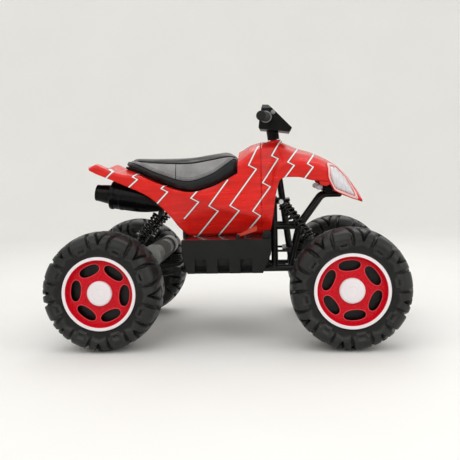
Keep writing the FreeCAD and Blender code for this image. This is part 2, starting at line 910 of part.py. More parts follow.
def front_shock_ends():
    top = Vector(N.front_shock_top_x, N.front_shock_top_y, N.front_shock_top_z)
    foot = Vector(HALF_BASE - N.front_shock_foot_back, N.front_shock_foot_y, N.front_shock_foot_z)
    return top, foot


def rear_shock_ends():
    top = Vector(N.rear_shock_top_x, N.rear_shock_y, N.rear_shock_top_z)
    foot = Vector(N.rear_shock_foot_x, N.rear_shock_y, N.rear_shock_foot_z)
    return top, foot


def make_front_frame(lower_frame):
    pieces = []
    for side, y in (("left", RAIL_Y), ("right", -RAIL_Y)):
        foot = Vector(N.post_x, y, N.rail_height)
        head = Vector(N.post_x, y, N.post_top_z)
        joint = Vector(N.truss_joint_x, y, N.truss_joint_z)
        bend = Vector(N.nose_bend_x, y, N.nose_bend_z)
        tip = Vector(N.nose_tip_x, y, N.nose_bend_z)
        level = Vector(N.post_x, y, N.truss_joint_z)
        brace_foot = Vector(N.truss_foot_x, y, N.rail_height)
        pieces += [
            rod(f"front_post_{side}", foot, head, S.rail_radius),
            rod(f"truss_level_{side}", level, joint, S.truss_radius),
            rod(f"truss_rise_{side}", joint, bend, S.truss_radius),
            ball(f"truss_joint_{side}", joint, S.truss_radius),
            ball(f"truss_bend_{side}", bend, S.truss_radius),
            rod(f"truss_nose_{side}", bend, tip, S.truss_radius),
            rod(f"truss_brace_{side}", brace_foot, joint, S.truss_radius),
        ]
        stay_share = (N.stay_height - N.rail_height) / (N.truss_joint_z - N.rail_height)
        stay_end = brace_foot + (joint - brace_foot) * stay_share
        stay_start = Vector(N.post_x, y, N.stay_height)
        pieces.append(rod(f"front_stay_{side}", stay_start, stay_end, S.stay_radius))
        outward = 1 if y > 0 else -1
        top = front_shock_ends()[0]
        inner_face = N.front_shock_top_y - N.shock_eye_width / 2 - N.clevis_gap
        bracket_y = inner_face - N.shock_bracket_thickness / 2
        length = S.front_shock_top_x - S.post_x + S.shock_bracket_height / 2
        centre = Vector(N.post_x + length.value / 2, outward * bracket_y, top.z)
        name = f"front_shock_bracket_{side}"
        pieces.append(block(name, centre, length, S.shock_bracket_thickness, S.shock_bracket_height))
    tip_half = Vector(N.nose_tip_x, RAIL_Y, N.nose_bend_z)
    other_tip = Vector(N.nose_tip_x, -RAIL_Y, N.nose_bend_z)
    pieces.append(rod("nose_cross", tip_half, other_tip, S.truss_radius))
    upper_bearing_z = N.post_top_z - N.rail_radius
    for name, z in (("upper", upper_bearing_z), ("lower", N.lower_bearing_height)):
        centre = on_column(z)
        piece = block(
            f"column_bearing_{name}",
            centre,
            S.bearing_plate_width,
            S.rail_spread,
            S.bearing_plate_thickness,
            RAKE,
        )
        pieces.append(piece)
    bore = S.shaft_radius + S.running_fit
    tools = [
        rod("column_bore", on_column(N.rail_height), on_column(N.steer_head_z), bore),
        lower_frame,
    ]
    for side, y in (("left", 1), ("right", -1)):
        top = front_shock_ends()[0]
        start = Vector(top.x, 0, top.z)
        end = Vector(top.x, y * N.front_shock_top_y, top.z)
        tools.append(rod(f"front_bolt_bore_{side}", start, end, S.shock_bolt_radius))
    return node(cut("front_frame", fuse("front_frame_tubes", pieces), tools), "front_frame")


def muffler_axis():
    """Ends of the muffler's middle line on the left side: at the rear ring and at the front."""
    rear = Vector(N.muffler_ring_x, N.muffler_y, N.muffler_ring_z)
    front = Vector(N.muffler_front_x, N.muffler_y, N.muffler_front_z)
    return rear, front


def make_upper_frame(lower_frame, front_frame):
    half = N.upper_rail_spread / 2
    pieces = []
    tools = [lower_frame, front_frame]
    for side, sign in (("left", 1), ("right", -1)):
        y = sign * half
        front = Vector(N.post_x, y, N.upper_rail_front_z)
        rear = Vector(N.upper_rail_rear_x, y, N.upper_rail_rear_z)
        pieces.append(rod(f"upper_rail_{side}", rear, front, S.upper_rail_radius))
        foot = Vector(N.rear_post_x, sign * RAIL_Y, N.rail_height)
        share = (N.rear_post_x - rear.x) / (front.x - rear.x)
        head = rear + (front - rear) * share
        pieces.append(rod(f"rear_post_{side}", foot, head, S.upper_rail_radius))
        top, _ = rear_shock_ends()
        inner_face = N.rear_shock_y - N.shock_eye_width / 2 - N.clevis_gap
        drop = S.upper_rail_rear_z - S.rear_shock_top_z + S.shock_bracket_height / 2
        bracket_y = sign * (inner_face - N.shock_bracket_thickness / 2)
        centre = Vector(top.x, bracket_y, N.upper_rail_rear_z - drop.value / 2)
        name = f"rear_shock_bracket_{side}"
        pieces.append(block(name, centre, S.shock_bracket_height, S.shock_bracket_thickness, drop))
        ring, muffler_front = muffler_axis()
        hold_share = (N.upper_rail_rear_x - ring.x) / (muffler_front.x - ring.x)
        hold_z = ring.z + (muffler_front.z - ring.z) * hold_share
        reach = S.muffler_y - S.upper_rail_spread / 2
        bracket_centre = Vector(N.upper_rail_rear_x, sign * (half + reach.value / 2), hold_z)
        bracket_height = S.muffler_bracket_length + S.upper_rail_radius * 2
        pieces.append(
            block(f"muffler_bracket_{side}", bracket_centre, S.muffler_bracket_length, reach, bracket_height)
        )
        bore_start = Vector(top.x, 0, top.z)
        bore_end = Vector(top.x, sign * top.y, top.z)
        tools.append(rod(f"rear_bolt_bore_{side}", bore_start, bore_end, S.shock_bolt_radius))
    rear_ends = [Vector(N.upper_rail_rear_x, y, N.upper_rail_rear_z) for y in (-half, half)]
    pieces.append(rod("upper_cross_rear", rear_ends[0], rear_ends[1], S.upper_rail_radius))
    for sign in (1, -1):
        ring, muffler_front = muffler_axis()
        start = Vector(ring.x, sign * ring.y, ring.z)
        end = Vector(muffler_front.x, sign * muffler_front.y, muffler_front.z)
        tools.append(rod(f"muffler_room_{sign}", start, end, S.muffler_radius + S.seat_gap))
    return node(cut("upper_frame", fuse("upper_frame_tubes", pieces), tools), "upper_frame")


# Tub, footboards and what lies in them

TUB_FLOOR = S.rail_height + S.rail_radius + S.seat_gap


def rectangle(rear, front, right, left):
    return [(rear, right), (front, right), (front, left), (rear, left)]


def make_tub():
    body = new_body("chassis_tub")
    outside = new_sketch(body, "tub_outside", "XY_Plane", TUB_FLOOR)
    draw_outline(outside, rectangle(S.tub_rear_x, S.tub_front_x, -S.tub_half_width, S.tub_half_width))
    pad(body, outside, S.tub_height, "tub_block")
    inside = new_sketch(body, "tub_inside", "XY_Plane", TUB_FLOOR + S.tub_height)
    wall = S.tub_wall
    width = S.tub_half_width - wall
    draw_outline(inside, rectangle(S.tub_rear_x + wall, S.tub_front_x - wall, -width, width))
    pocket(body, inside, S.tub_height - wall, "tub_hollow")
    node(body, "chassis_tub")
    floor = TUB_FLOOR.value + N.tub_wall
    for label in ("battery", "control"):
        length, width, height = (getattr(S, f"{label}_{side}") for side in ("length", "width", "height"))
        rear = getattr(N, f"{label}_rear_x")
        centre = Vector(rear + length.value / 2, 0, floor + height.value / 2)
        name = "battery" if label == "battery" else "control_unit"
        node(block(name, centre, length, width, height), name)


def footboard_moulding():
    """The footboard on the right, with its three recesses and its hollow underside."""
    body = new_body("footboard_moulding")
    inner = S.tub_half_width + S.seat_gap
    side = new_sketch(body, "footboard_side", "XZ_Plane", inner)
    draw_outline(
        side,
        [
            (S.footboard_rear_x, S.footboard_top_z),
            (S.footboard_front_x, S.footboard_top_z),
            (S.footboard_front_x, S.footboard_top_z - S.recess_height),
            (S.footboard_front_x - S.footboard_front_rake, S.footboard_bottom_z),
            (S.footboard_rear_x + S.footboard_rear_rake, S.footboard_bottom_z),
            (S.footboard_rear_x, S.footboard_top_z - S.recess_height),
        ],
    )
    pad(body, side, S.footboard_half_width - inner, "footboard_block")
    under = new_sketch(body, "footboard_under", "XY_Plane", S.footboard_bottom_z)
    wall = S.footboard_wall
    draw_outline(
        under,
        rectangle(
            S.footboard_rear_x + S.footboard_rear_rake + wall,
            S.footboard_front_x - S.footboard_front_rake - wall,
            S.footboard_skirt - S.footboard_half_width,
            -(inner + wall),
        ),
    )
    depth = S.footboard_top_z - S.footboard_bottom_z - wall
    pocket(body, under, depth, "footboard_hollow", backward=True)
    face = new_sketch(body, "footboard_recess", "XZ_Plane", S.footboard_half_width)
    start = S.recess_first_x
    low = S.footboard_bottom_z
    draw_outline(face, rectangle(start, start + S.recess_length, low, low + S.recess_height))
    recess = pocket(body, face, S.recess_depth, "footboard_recess_cut")
    row = body.newObject("PartDesign::LinearPattern", "footboard_recesses")
    row.Originals = [recess]
    row.Direction = (face, ["H_Axis"])
    row.setExpression("Length", (S.recess_pitch * (S.recess_count - 1)).text)
    row.setExpression("Occurrences", S.recess_count.text)
    body.Tip = row
    return body


def pedal_hinge():
    return Vector(N.pedal_hinge_x, N.pedal_y, N.footboard_top_z + N.pedal_barrel_radius + N.seat_gap)


def make_footboards_and_pedal():
    moulding = footboard_moulding()
    node(mirrored("footboard_left", moulding), "footboard_left")
    hinge = pedal_hinge()
    reach = N.pedal_width / 2 + N.seat_gap + N.pedal_ear_thickness
    pieces = [moulding, rod("pedal_pin", hinge - ACROSS * reach, hinge + ACROSS * reach, S.pedal_pin_radius)]
    rise = S.pedal_barrel_radius * 2 + S.seat_gap
    for end in (-1, 1):
        across = end * (reach - N.pedal_ear_thickness / 2)
        centre = Vector(hinge.x, hinge.y + across, N.footboard_top_z + rise.value / 2)
        pieces.append(block(f"pedal_ear_{end + 1}", centre, S.pedal_ear_width, S.pedal_ear_thickness, rise))
    node(fuse("footboard_right", pieces), "footboard_right")
    slope = Rotation(ACROSS, -math.degrees(math.asin(N.pedal_rise / N.pedal_length)))
    middle = hinge + slope.multVec(ALONG) * (N.pedal_length / 2)
    tread = block("pedal_tread", middle, S.pedal_length, S.pedal_width, S.pedal_thickness, slope)
    barrel = disc("pedal_barrel", hinge, ACROSS, S.pedal_barrel_radius, S.pedal_width)
    bore = disc("pedal_bore", hinge, ACROSS, S.pedal_pin_radius + S.running_fit, S.pedal_width * 2)
    node(cut("accelerator_pedal", fuse("pedal_solid", [tread, barrel]), [bore]), "accelerator_pedal")


# Seat and body shells

SHELL_BASE_Z = N.footboard_top_z + N.seat_gap
SEAT_LENGTH = N.seat_front_x - N.seat_rear_x


def saddle_points(drop):
    """Points of the line that the seat rests on, lowered by a drop."""
    points = []
    for along, height in SADDLE_SHARES:
        x = N.seat_rear_x + along * SEAT_LENGTH
        points.append(Vector(x, 0, N.seat_low_z + height * N.seat_rise - drop))
    return points


def above_saddle(drop, rear_x, front_x, half_width):
    """The space above the saddle line lowered by a drop, between two places along the bike."""
    points = saddle_points(drop)
    curve = Part.BSplineCurve()
    curve.interpolate(points)
    rear = points[0] - ALONG * N.cut_overrun
    front = points[-1] + ALONG * N.cut_overrun
    top = UP * (N.seat_rise + N.cut_overrun)
    corners = [points[-1], front, front + top, rear + top, rear, points[0]]
    edges = [curve.toShape()] + [Part.LineSegment(p, q).toShape() for p, q in zip(corners, corners[1:])]
    face = Part.Face(Part.Wire(edges))
    face.translate(ACROSS * -half_width)
    corner = Vector(rear_x, -half_width, points[0].z - top.z)
    room = Part.makeBox(front_x - rear_x, 2 * half_width, 2 * top.z, corner)
    return face.extrude(ACROSS * (2 * half_width)).common(room)


def saddle_height(share):
    """Height of the saddle line at a share of the seat's length."""
    for (x0, z0), (x1, z1) in zip(SADDLE_SHARES, SADDLE_SHARES[1:]):
        if share <= x1:
            return N.seat_low_z + N.seat_rise * (z0 + (z1 - z0) * (share - x0) / (x1 - x0))
    return N.seat_low_z + N.seat_rise * SADDLE_SHARES[-1][1]


def cushion_section(along, top_share, width_share, inset):
    """One closed section of the cushion: flat foot, round sides and a crowned top."""
    x = N.seat_rear_x + along * SEAT_LENGTH
    low = saddle_height(along)
    top = N.seat_low_z + top_share * N.seat_rise - inset
    width = width_share * N.seat_half_width - inset
    foot = low - N.seat_base_thickness
    side_z = low + (top - low) * CUSHION_SIDE_HEIGHT_SHARE
    edge_z = low + (top - low) * CUSHION_EDGE_HEIGHT_SHARE
    edge = width * CUSHION_EDGE_WIDTH_SHARE
    foot_y = width * CUSHION_FOOT_WIDTH_SHARE
    corners = {
        "foot": Vector(x, foot_y, foot),
        "side": Vector(x, width, side_z),
        "edge": Vector(x, edge, edge_z),
    }
    other = {name: Vector(p.x, -p.y, p.z) for name, p in corners.items()}
    edges = [
        Part.LineSegment(other["foot"], corners["foot"]),
        Part.Arc(corners["foot"], corners["side"], corners["edge"]),
        Part.Arc(corners["edge"], Vector(x, 0, top), other["edge"]),
        Part.Arc(other["edge"], other["side"], other["foot"]),
    ]
    return Part.Wire([e.toShape() for e in edges])


def cushion_loft(inset):
    return Part.makeLoft([cushion_section(*row, inset) for row in CUSHION_SHARES], True, False)


def make_seat():
    wide = N.seat_half_width + N.cut_overrun
    rear, front = N.seat_rear_x - N.cut_overrun, N.seat_front_x + N.cut_overrun
    cushion = cushion_loft(0).common(above_saddle(0, rear, front, wide))
    skin = cushion.cut(cushion_loft(N.seat_seam_depth))
    seam_x = N.seat_rear_x + SEAM_PLACE_SHARE * SEAT_LENGTH
    half_seam = N.seat_seam_width / 2
    band_low = -N.seat_band_height + half_seam
    band_top = band_low - N.seat_seam_width
    band = above_saddle(band_low, rear, front, wide).cut(above_saddle(band_top, rear, front, wide))
    upright_seam = above_saddle(-N.seat_band_height, seam_x - half_seam, seam_x + half_seam, wide)
    side_limit = N.seat_half_width * CUSHION_EDGE_WIDTH_SHARE
    corner = Vector(rear, -side_limit, N.seat_low_z - N.seat_rise / 2)
    middle = Part.makeBox(front - rear, 2 * side_limit, 2 * N.seat_rise, corner)
    cushion = cushion.cut(skin.common(band)).cut(skin.common(upright_seam.cut(middle)))
    node(raw("seat_cushion", cushion.Solids[0]), "seat_cushion")
    inner_rear = N.seat_rear_x + N.seat_base_thickness
    inner_front = N.seat_front_x - N.seat_base_thickness
    drop = N.seat_gap + N.seat_base_thickness
    base = above_saddle(drop, inner_rear, inner_front, N.seat_base_half_width)
    base = base.cut(above_saddle(N.seat_gap, rear, front, wide))
    node(raw("seat_base", base.Solids[0]), "seat_base")


def shell_section(row, start_x, length, half_width, inset):
    """One closed section of a body shell; inset draws it in by the wall and runs it past the open bottom."""
    along, centre, shoulder_y, shoulder_z, crease_y, crease_z, bottom_y, bottom_z = row
    x = start_x + along * length
    height = [SHELL_BASE_Z + share * N.shell_rise for share in (centre, shoulder_z, crease_z, bottom_z)]
    width = [share * half_width - inset for share in (shoulder_y, crease_y, bottom_y)]
    half = [
        Vector(x, width[0], height[1] - inset),
        Vector(x, width[1], height[2] - inset),
        Vector(x, width[2], height[3]),
    ]
    if inset:
        half[2] = half[2] + (half[2] - half[1]) * INNER_RUN_SHARE - UP * inset
    other = [Vector(p.x, -p.y, p.z) for p in half]
    points = [Vector(x, 0, height[0] - inset), *half, *reversed(other)]
    return Part.makePolygon([*points, points[0]])


def shell_loft(rows, start_x, length, half_width, inset):
    return Part.makeLoft([shell_section(row, start_x, length, half_width, inset) for row in rows], True, True)


def hollow_shell(rows, start_x, length, half_width, closed_end):
    """The outer form and the inner space of a shell with one closed end (0 at its start, 1 at its finish)."""
    outer = shell_loft(rows, start_x, length, half_width, 0)
    wall = N.shell_wall / length
    over = N.cut_overrun / length
    inner_rows = [list(row) for row in rows]
    if closed_end:
        inner_rows[-1][0] -= wall
        inner_rows.insert(0, [inner_rows[0][0] - over, *inner_rows[0][1:]])
    else:
        inner_rows[0][0] += wall
        inner_rows.append([inner_rows[-1][0] + over, *inner_rows[-1][1:]])
    inner = shell_loft(inner_rows, start_x, length, half_width, N.shell_wall)
    return outer, inner


def make_rear_shell():
    length = N.shell_seam_x - N.seam_gap - N.shell_tail_x
    outer, inner = hollow_shell(REAR_SHELL_SHARES, N.shell_tail_x, length, N.shell_half_width, 0)
    drop = 2 * N.seat_gap + N.seat_base_thickness
    wide = N.shell_half_width + N.cut_overrun
    rear, front = N.seat_rear_x - N.seat_gap, N.seat_front_x + N.seat_gap
    seat_room = above_saddle(drop, rear, front, wide)
    wall = N.shell_wall
    under_room = above_saddle(drop + wall, rear - wall, front + wall, wide)
    shell = outer.cut(seat_room).cut(inner.cut(under_room))
    node(raw("rear_body_shell", shell.Solids[0]), "rear_body_shell")


def lamp_prism(share, sign):
    """The lamp's outline in side view, drawn in to a share about its middle and run outward."""
    points = []
    middle_x = sum(x for x, z in LAMP_OUTLINE_SHARES) / len(LAMP_OUTLINE_SHARES)
    middle_z = sum(z for x, z in LAMP_OUTLINE_SHARES) / len(LAMP_OUTLINE_SHARES)
    for x, z in LAMP_OUTLINE_SHARES:
        along = middle_x + (x - middle_x) * share
        up = middle_z + (z - middle_z) * share
        place = Vector(N.lamp_rear_x + along * N.lamp_length, 0, N.lamp_bottom_z + up * N.lamp_height)
        points.append(place + ACROSS * (sign * N.lamp_inner_y))
    face = Part.Face(Part.makePolygon([*points, points[0]]))
    return face.extrude(ACROSS * (sign * N.cowl_half_width))


def make_front_cowl():
    outer, inner = hollow_shell(FRONT_COWL_SHARES, N.shell_seam_x, N.cowl_length, N.cowl_half_width, 1)
    skin = outer.cut(inner)
    hole = Part.makeCylinder(
        N.shaft_radius + N.column_play, N.steer_head_z, STEER_HEAD - STEER_UP * N.steer_head_z, STEER_UP
    )
    frames = [lamp_prism(1, sign) for sign in (1, -1)]
    lenses = [lamp_prism(LAMP_LENS_SHARE, sign) for sign in (1, -1)]
    cowl = skin.cut(hole).cut(frames[0]).cut(frames[1])
    node(raw("front_cowl", max(cowl.Solids, key=lambda solid: solid.Volume)), "front_cowl")
    bezels = [skin.common(frame).cut(lens) for frame, lens in zip(frames, lenses)]
    glass = [skin.common(lens) for lens in lenses]
    for label, pieces in (("headlight_bezels", bezels), ("headlight_lenses", glass)):
        solids = [solid for piece in pieces for solid in piece.Solids]
        node(raw(label, Part.Compound(solids)), label)


# Exhaust mufflers


def make_mufflers():
    ring, front = muffler_axis()
    run = S.muffler_front_x - S.muffler_ring_x
    turn = Rotation(ACROSS, front - ring)
    can = turned_body(
        "muffler_left",
        [
            (0, 0),
            (S.muffler_ring_radius, 0),
            (S.muffler_ring_radius, S.muffler_ring_length),
            (S.muffler_radius, S.muffler_ring_length),
            (S.muffler_radius, run * MUFFLER_TAPER_SHARE),
            (S.muffler_front_radius, run),
            (0, run),
        ],
    )
    tip = turned_body(
        "muffler_tip_left",
        [
            (0, 0),
            (S.muffler_tip_radius, 0),
            (S.muffler_mouth_radius, -S.muffler_tip_length),
            (S.muffler_mouth_radius - S.muffler_mouth_wall, -S.muffler_tip_length),
            (S.muffler_mouth_radius - S.muffler_mouth_wall, S.muffler_mouth_depth - S.muffler_tip_length),
            (0, S.muffler_mouth_depth - S.muffler_tip_length),
        ],
    )
    for body in (can, tip):
        body.Placement = Placement(ring, turn)
    node(group("mufflers", [can, mirrored("muffler_right", can)]), "mufflers")
    node(group("muffler_tips", [tip, mirrored("muffler_tip_right", tip)]), "muffler_tips")


# Steering column and handlebar


def on_steering(x, y, z):
    """A point of the steering's own frame: Z along its axis, measured from the head."""
    return STEER_HEAD + RAKE.multVec(Vector(x, y, z))


def bar_points():
    end = Vector(N.bar_end_x, N.bar_span / 2, N.bar_end_z)
    bend = Vector(N.bar_centre_x, N.bar_straight / 2, N.bar_centre_z)
    return end, bend


def make_steering():
    top = on_steering(0, 0, -N.shaft_top_gap)
    bottom = on_steering(0, 0, -N.shaft_length)
    shaft = rod("steering_tube", bottom, top, S.shaft_radius)
    plate_length = S.pitman_reach + S.pitman_width
    plate_z = N.pitman_thickness / 2 - N.shaft_length
    plate_centre = on_steering(N.pitman_reach / 2, 0, plate_z)
    plate = block("pitman_plate", plate_centre, plate_length, S.pitman_width, S.pitman_thickness, RAKE)
    pins = []
    for sign in (1, -1):
        base = on_steering(N.pitman_reach, sign * N.pitman_spread / 2, plate_z)
        pin_end = base + STEER_UP * N.link_pin_length
        pins.append(rod(f"pitman_pin_{sign + 1}", base, pin_end, S.link_pin_radius))
    node(fuse("steering_shaft", [shaft, plate, *pins]), "steering_shaft")

    end, bend = bar_points()
    other_end, other_bend = (Vector(p.x, -p.y, p.z) for p in (end, bend))
    bar = fuse(
        "handlebar_tube",
        [
            rod("bar_left", bend, end, S.bar_radius),
            rod("bar_middle", other_bend, bend, S.bar_radius),
            rod("bar_right", other_bend, other_end, S.bar_radius),
            ball("bar_bend_left", bend, S.bar_radius),
            ball("bar_bend_right", other_bend, S.bar_radius),
        ],
    )
    node(bar, "handlebar_tube")

    side = new_body("cover_side")
    side_sketch = new_sketch(side, "cover_side_view", "XZ_Plane")
    corners = [(S.cover_rear_x + S.cover_length * x, S.cover_bottom_z + S.cover_height * z)
               for x, z in COVER_OUTLINE_SHARES]
    draw_outline(side_sketch, corners)
    pad(side, side_sketch, S.cover_width * 2, "cover_side_block", middle=True)
    front = new_body("cover_front")
    front_sketch = new_sketch(front, "cover_front_view", "YZ_Plane")
    draw_outline(
        front_sketch,
        [(S.cover_width / 2 * y, S.cover_bottom_z + S.cover_height * z) for y, z in COVER_FRONT_SHARES],
    )
    pad(front, front_sketch, (S.cover_rear_x + S.cover_length) * 2, "cover_front_block")
    core = doc.addObject("Part::Common", "cover_core")
    core.Base = side
    core.Tool = front
    face = Vector(N.button_x, -N.cover_width / 2, N.button_z)
    room = S.button_length - S.button_out + S.button_travel + S.seat_gap
    hole = disc("button_hole", face, ACROSS, S.button_radius + S.running_fit, room * 2)
    button_centre = face + ACROSS * (N.button_length / 2 - N.button_out)
    node(disc("horn_button", button_centre, ACROSS, S.button_radius, S.button_length), "horn_button")
    cover = cut("handlebar_cover", core, [bar, shaft, hole])
    node(cover, "handlebar_cover")

    shroud_top = on_steering(0, 0, -N.shroud_top_drop)
    shroud_foot = on_steering(0, 0, -N.shroud_top_drop - N.shroud_length)
    sleeve = rod("shroud_sleeve", shroud_foot, shroud_top, S.shroud_radius)
    node(cut("column_shroud", sleeve, [shaft, core]), "column_shroud")

    out = (end - bend).normalize()
    outer_end = end + out * N.grip_cap
    inner_end = outer_end - out * N.grip_length
    flange_end = inner_end + out * N.grip_flange_length
    grip_solid = fuse(
        "grip_solid",
        [
            rod("grip_sleeve", inner_end, outer_end, S.grip_radius),
            rod("grip_flange", inner_end, flange_end, S.grip_flange_radius),
        ],
    )
    grip = cut("grip_left", grip_solid, [bar])
    node(group("grips", [grip, mirrored("grip_right", grip)]), "grips")


# Front arms, knuckles and tie rods


def both_sides(name, left):
    """Names the left piece and its mirror image on the right."""
    node(left, f"{name}_left")
    node(mirrored(f"{name}_right", left), f"{name}_right")


def make_front_arm():
    barrels = [Vector(x, ARM_PIVOT.y, ARM_PIVOT.z) for x in arm_barrel_places()]
    post_y = KINGPIN_Y - N.knuckle_radius - N.fork_gap - N.fork_post_depth / 2
    axle = N.wheel_radius
    post = Vector(HALF_BASE, post_y, axle)
    fork_height = S.knuckle_height + S.seat_gap * 2 + S.ear_thickness * 2
    pieces = [block("fork_post", post, S.ear_width, S.fork_post_depth, fork_height)]
    leg_end = post + UP * (N.knuckle_height * ARM_LEG_RISE_SHARE)
    for index, barrel in enumerate(barrels):
        pieces.append(disc(f"arm_barrel_{index}", barrel, ALONG, S.arm_barrel_radius, S.arm_barrel_length))
        pieces.append(rod(f"arm_leg_{index}", barrel, leg_end, S.arm_leg_radius))
    ear_offset = N.knuckle_height / 2 + N.seat_gap + N.ear_thickness / 2
    ear_width = S.knuckle_radius + S.fork_gap + S.fork_post_depth
    for name, sign in (("upper", 1), ("lower", -1)):
        level = axle + sign * ear_offset
        centre = Vector(HALF_BASE, KINGPIN_Y - ear_width.value / 2, level)
        pieces.append(block(f"fork_ear_{name}", centre, S.ear_width, ear_width, S.ear_thickness))
        round_end = Vector(HALF_BASE, KINGPIN_Y, level)
        pieces.append(disc(f"fork_ear_end_{name}", round_end, UP, S.ear_width / 2, S.ear_thickness))
    _, foot = front_shock_ends()
    half_eye = (N.shock_eye_width + N.clevis_thickness) / 2
    inner_y = foot.y - half_eye - N.front_clevis_inner_gap
    outer_y = foot.y + half_eye + N.clevis_gap
    for name, y in (("inner", inner_y), ("outer", outer_y)):
        share = (y - ARM_PIVOT.y) / (leg_end.y - ARM_PIVOT.y)
        rear_leg = barrels[0] + (leg_end - barrels[0]) * min(share, 1)
        start = Vector(foot.x, y, foot.z)
        end = Vector(rear_leg.x, y, rear_leg.z)
        pieces.append(link_plate(f"front_clevis_{name}", start, end, S.clevis_width, S.clevis_thickness))
    pin_start = Vector(foot.x, inner_y - N.clevis_thickness / 2, foot.z)
    pin_end = Vector(foot.x, outer_y + N.clevis_thickness / 2, foot.z)
    pin = rod("front_clevis_pin", pin_start, pin_end, S.shock_bolt_radius)
    overrun = ALONG * N.arm_barrel_length
    kingpin = Vector(HALF_BASE, KINGPIN_Y, axle)
    tools = [
        rod("arm_bore", barrels[0] - overrun, barrels[1] + overrun, S.arm_pin_radius + S.running_fit),
        disc("kingpin_bore", kingpin, UP, S.kingpin_radius + S.running_fit, fork_height * 2),
    ]
    body = cut("front_arm_body", fuse("front_arm_solid", pieces), tools)
    both_sides("front_arm", fuse("front_arm_left", [body, pin]))


def link_ends():
    """Where the left tie rod is held: on the pitman arm and on the knuckle."""
    reach = N.pitman_reach / math.cos(math.radians(N.steer_rake))
    inner = Vector(on_column(N.link_height).x + reach, N.pitman_spread / 2, N.link_height)
    outer = Vector(HALF_BASE + reach, KINGPIN_Y + N.pitman_spread / 2, N.link_height)
    return inner, outer


def make_knuckle():
    centre = Vector(HALF_BASE, KINGPIN_Y, N.wheel_radius)
    arm_level = N.knuckle_arm_height + N.knuckle_arm_thickness / 2
    below = N.knuckle_height / 2 + N.seat_gap + N.ear_thickness + N.kingpin_tail
    pin_top = Vector(HALF_BASE, KINGPIN_Y, N.knuckle_arm_height + N.knuckle_arm_thickness)
    hub_face = HALF_TRACK - N.hub_reach - N.seat_gap
    axle_end = HALF_TRACK + disc_face.value + N.axle_tail
    _, joint = link_ends()
    arm_start = Vector(HALF_BASE, KINGPIN_Y, arm_level)
    arm_end = Vector(joint.x, joint.y, arm_level)
    run = arm_end - arm_start
    turn = Rotation(ALONG, run)
    arm = doc.addObject("Part::Box", "knuckle_arm_bar")
    arm.Length = run.Length
    arm.setExpression("Width", S.knuckle_arm_width.text)
    arm.setExpression("Height", S.knuckle_arm_thickness.text)
    corner = turn.multVec(Vector(0, -N.knuckle_arm_width / 2, -N.knuckle_arm_thickness / 2))
    arm.Placement = Placement(arm_start + corner, turn)
    pin_end = joint + UP * N.link_eye_thickness
    pieces = [
        disc("knuckle_barrel", centre, UP, S.knuckle_radius, S.knuckle_height),
        rod("kingpin", centre - UP * below, pin_top, S.kingpin_radius),
        rod("knuckle_spacer", centre, Vector(HALF_BASE, hub_face, N.wheel_radius), S.knuckle_spacer_radius),
        rod("stub_axle", centre, Vector(HALF_BASE, axle_end, N.wheel_radius), S.axle_radius),
        arm,
        disc("knuckle_arm_start", arm_start, UP, S.knuckle_arm_width / 2, S.knuckle_arm_thickness),
        disc("knuckle_arm_end", arm_end, UP, S.knuckle_arm_width / 2, S.knuckle_arm_thickness),
        rod("knuckle_pin", arm_end, pin_end, S.link_pin_radius),
    ]
    both_sides("knuckle", fuse("knuckle_left", pieces))


def make_tie_rod():
    inner, outer = link_ends()
    pieces = [rod("tie_bar", inner, outer, S.link_rod_radius)]
    tools = []
    for name, point, play in (("inner", inner, S.link_eye_play), ("outer", outer, S.running_fit)):
        pieces.append(disc(f"tie_eye_{name}", point, UP, S.link_eye_radius, S.link_eye_thickness))
        tools.append(disc(f"tie_bore_{name}", point, UP, S.link_pin_radius + play, S.link_eye_thickness * 4))
    both_sides("tie_rod", cut("tie_rod_left", fuse("tie_rod_solid", pieces), tools))


# Shock absorbers and springs


def biarc(start, start_way, end, end_way):
    """Two arcs that leave one point and reach another in given directions, meeting smoothly between."""
    chord = end - start
    ways = start_way + end_way
    spread = 2 * (1 - start_way.dot(end_way))
    across = chord.dot(ways)
    reach = (-across + math.sqrt(across * across + spread * chord.dot(chord))) / spread
    first = start + start_way * reach
    second = end - end_way * reach
    joint = (first + second) * 0.5
    arcs = []
    for p, corner, q in ((start, first, joint), (joint, second, end)):
        middle = (p + q) * 0.5
        half_turn = (corner - p).getAngle(q - corner) / 2
        lift = math.tan(half_turn / 2) / math.tan(half_turn)
        arcs.append(Part.Arc(p, middle + (corner - middle) * lift, q).toShape())
    return arcs


def spring_shape(name, radius, wire, length, turns):
    """A coil along Z from the origin: one unbroken tube on quarter turns."""
    pitch = (length - wire) / turns

    def point(turn):
        angle = 2 * math.pi * turn
        return Vector(radius * math.cos(angle), radius * math.sin(angle), wire / 2 + pitch * turn)

    def way(turn):
        angle = 2 * math.pi * turn
        slope = pitch / (2 * math.pi)
        return Vector(-radius * math.sin(angle), radius * math.cos(angle), slope).normalize()

    steps = int(turns * 4)
    edges = []
    for step in range(steps):
        here, there = step / 4, (step + 1) / 4
        edges += biarc(point(here), way(here), point(there), way(there))
    path = Part.Wire(edges)
    section = Part.Wire([Part.Circle(point(0), way(0), wire / 2).toShape()])
    count = int(turns * SPRING_SAMPLES_PER_TURN) + 1
    half_turn = SPRING_SAMPLES_PER_TURN // 2
    samples = [point(index / SPRING_SAMPLES_PER_TURN) for index in range(count)]
    far = [(i, j) for i in range(count) for j in range(i + half_turn, count)]
    gap = min((samples[i] - samples[j]).Length for i, j in far) - wire
    print(f"{name}: least gap between turns {gap:.2f} mm")
    return path.makePipeShell([section], True, False)


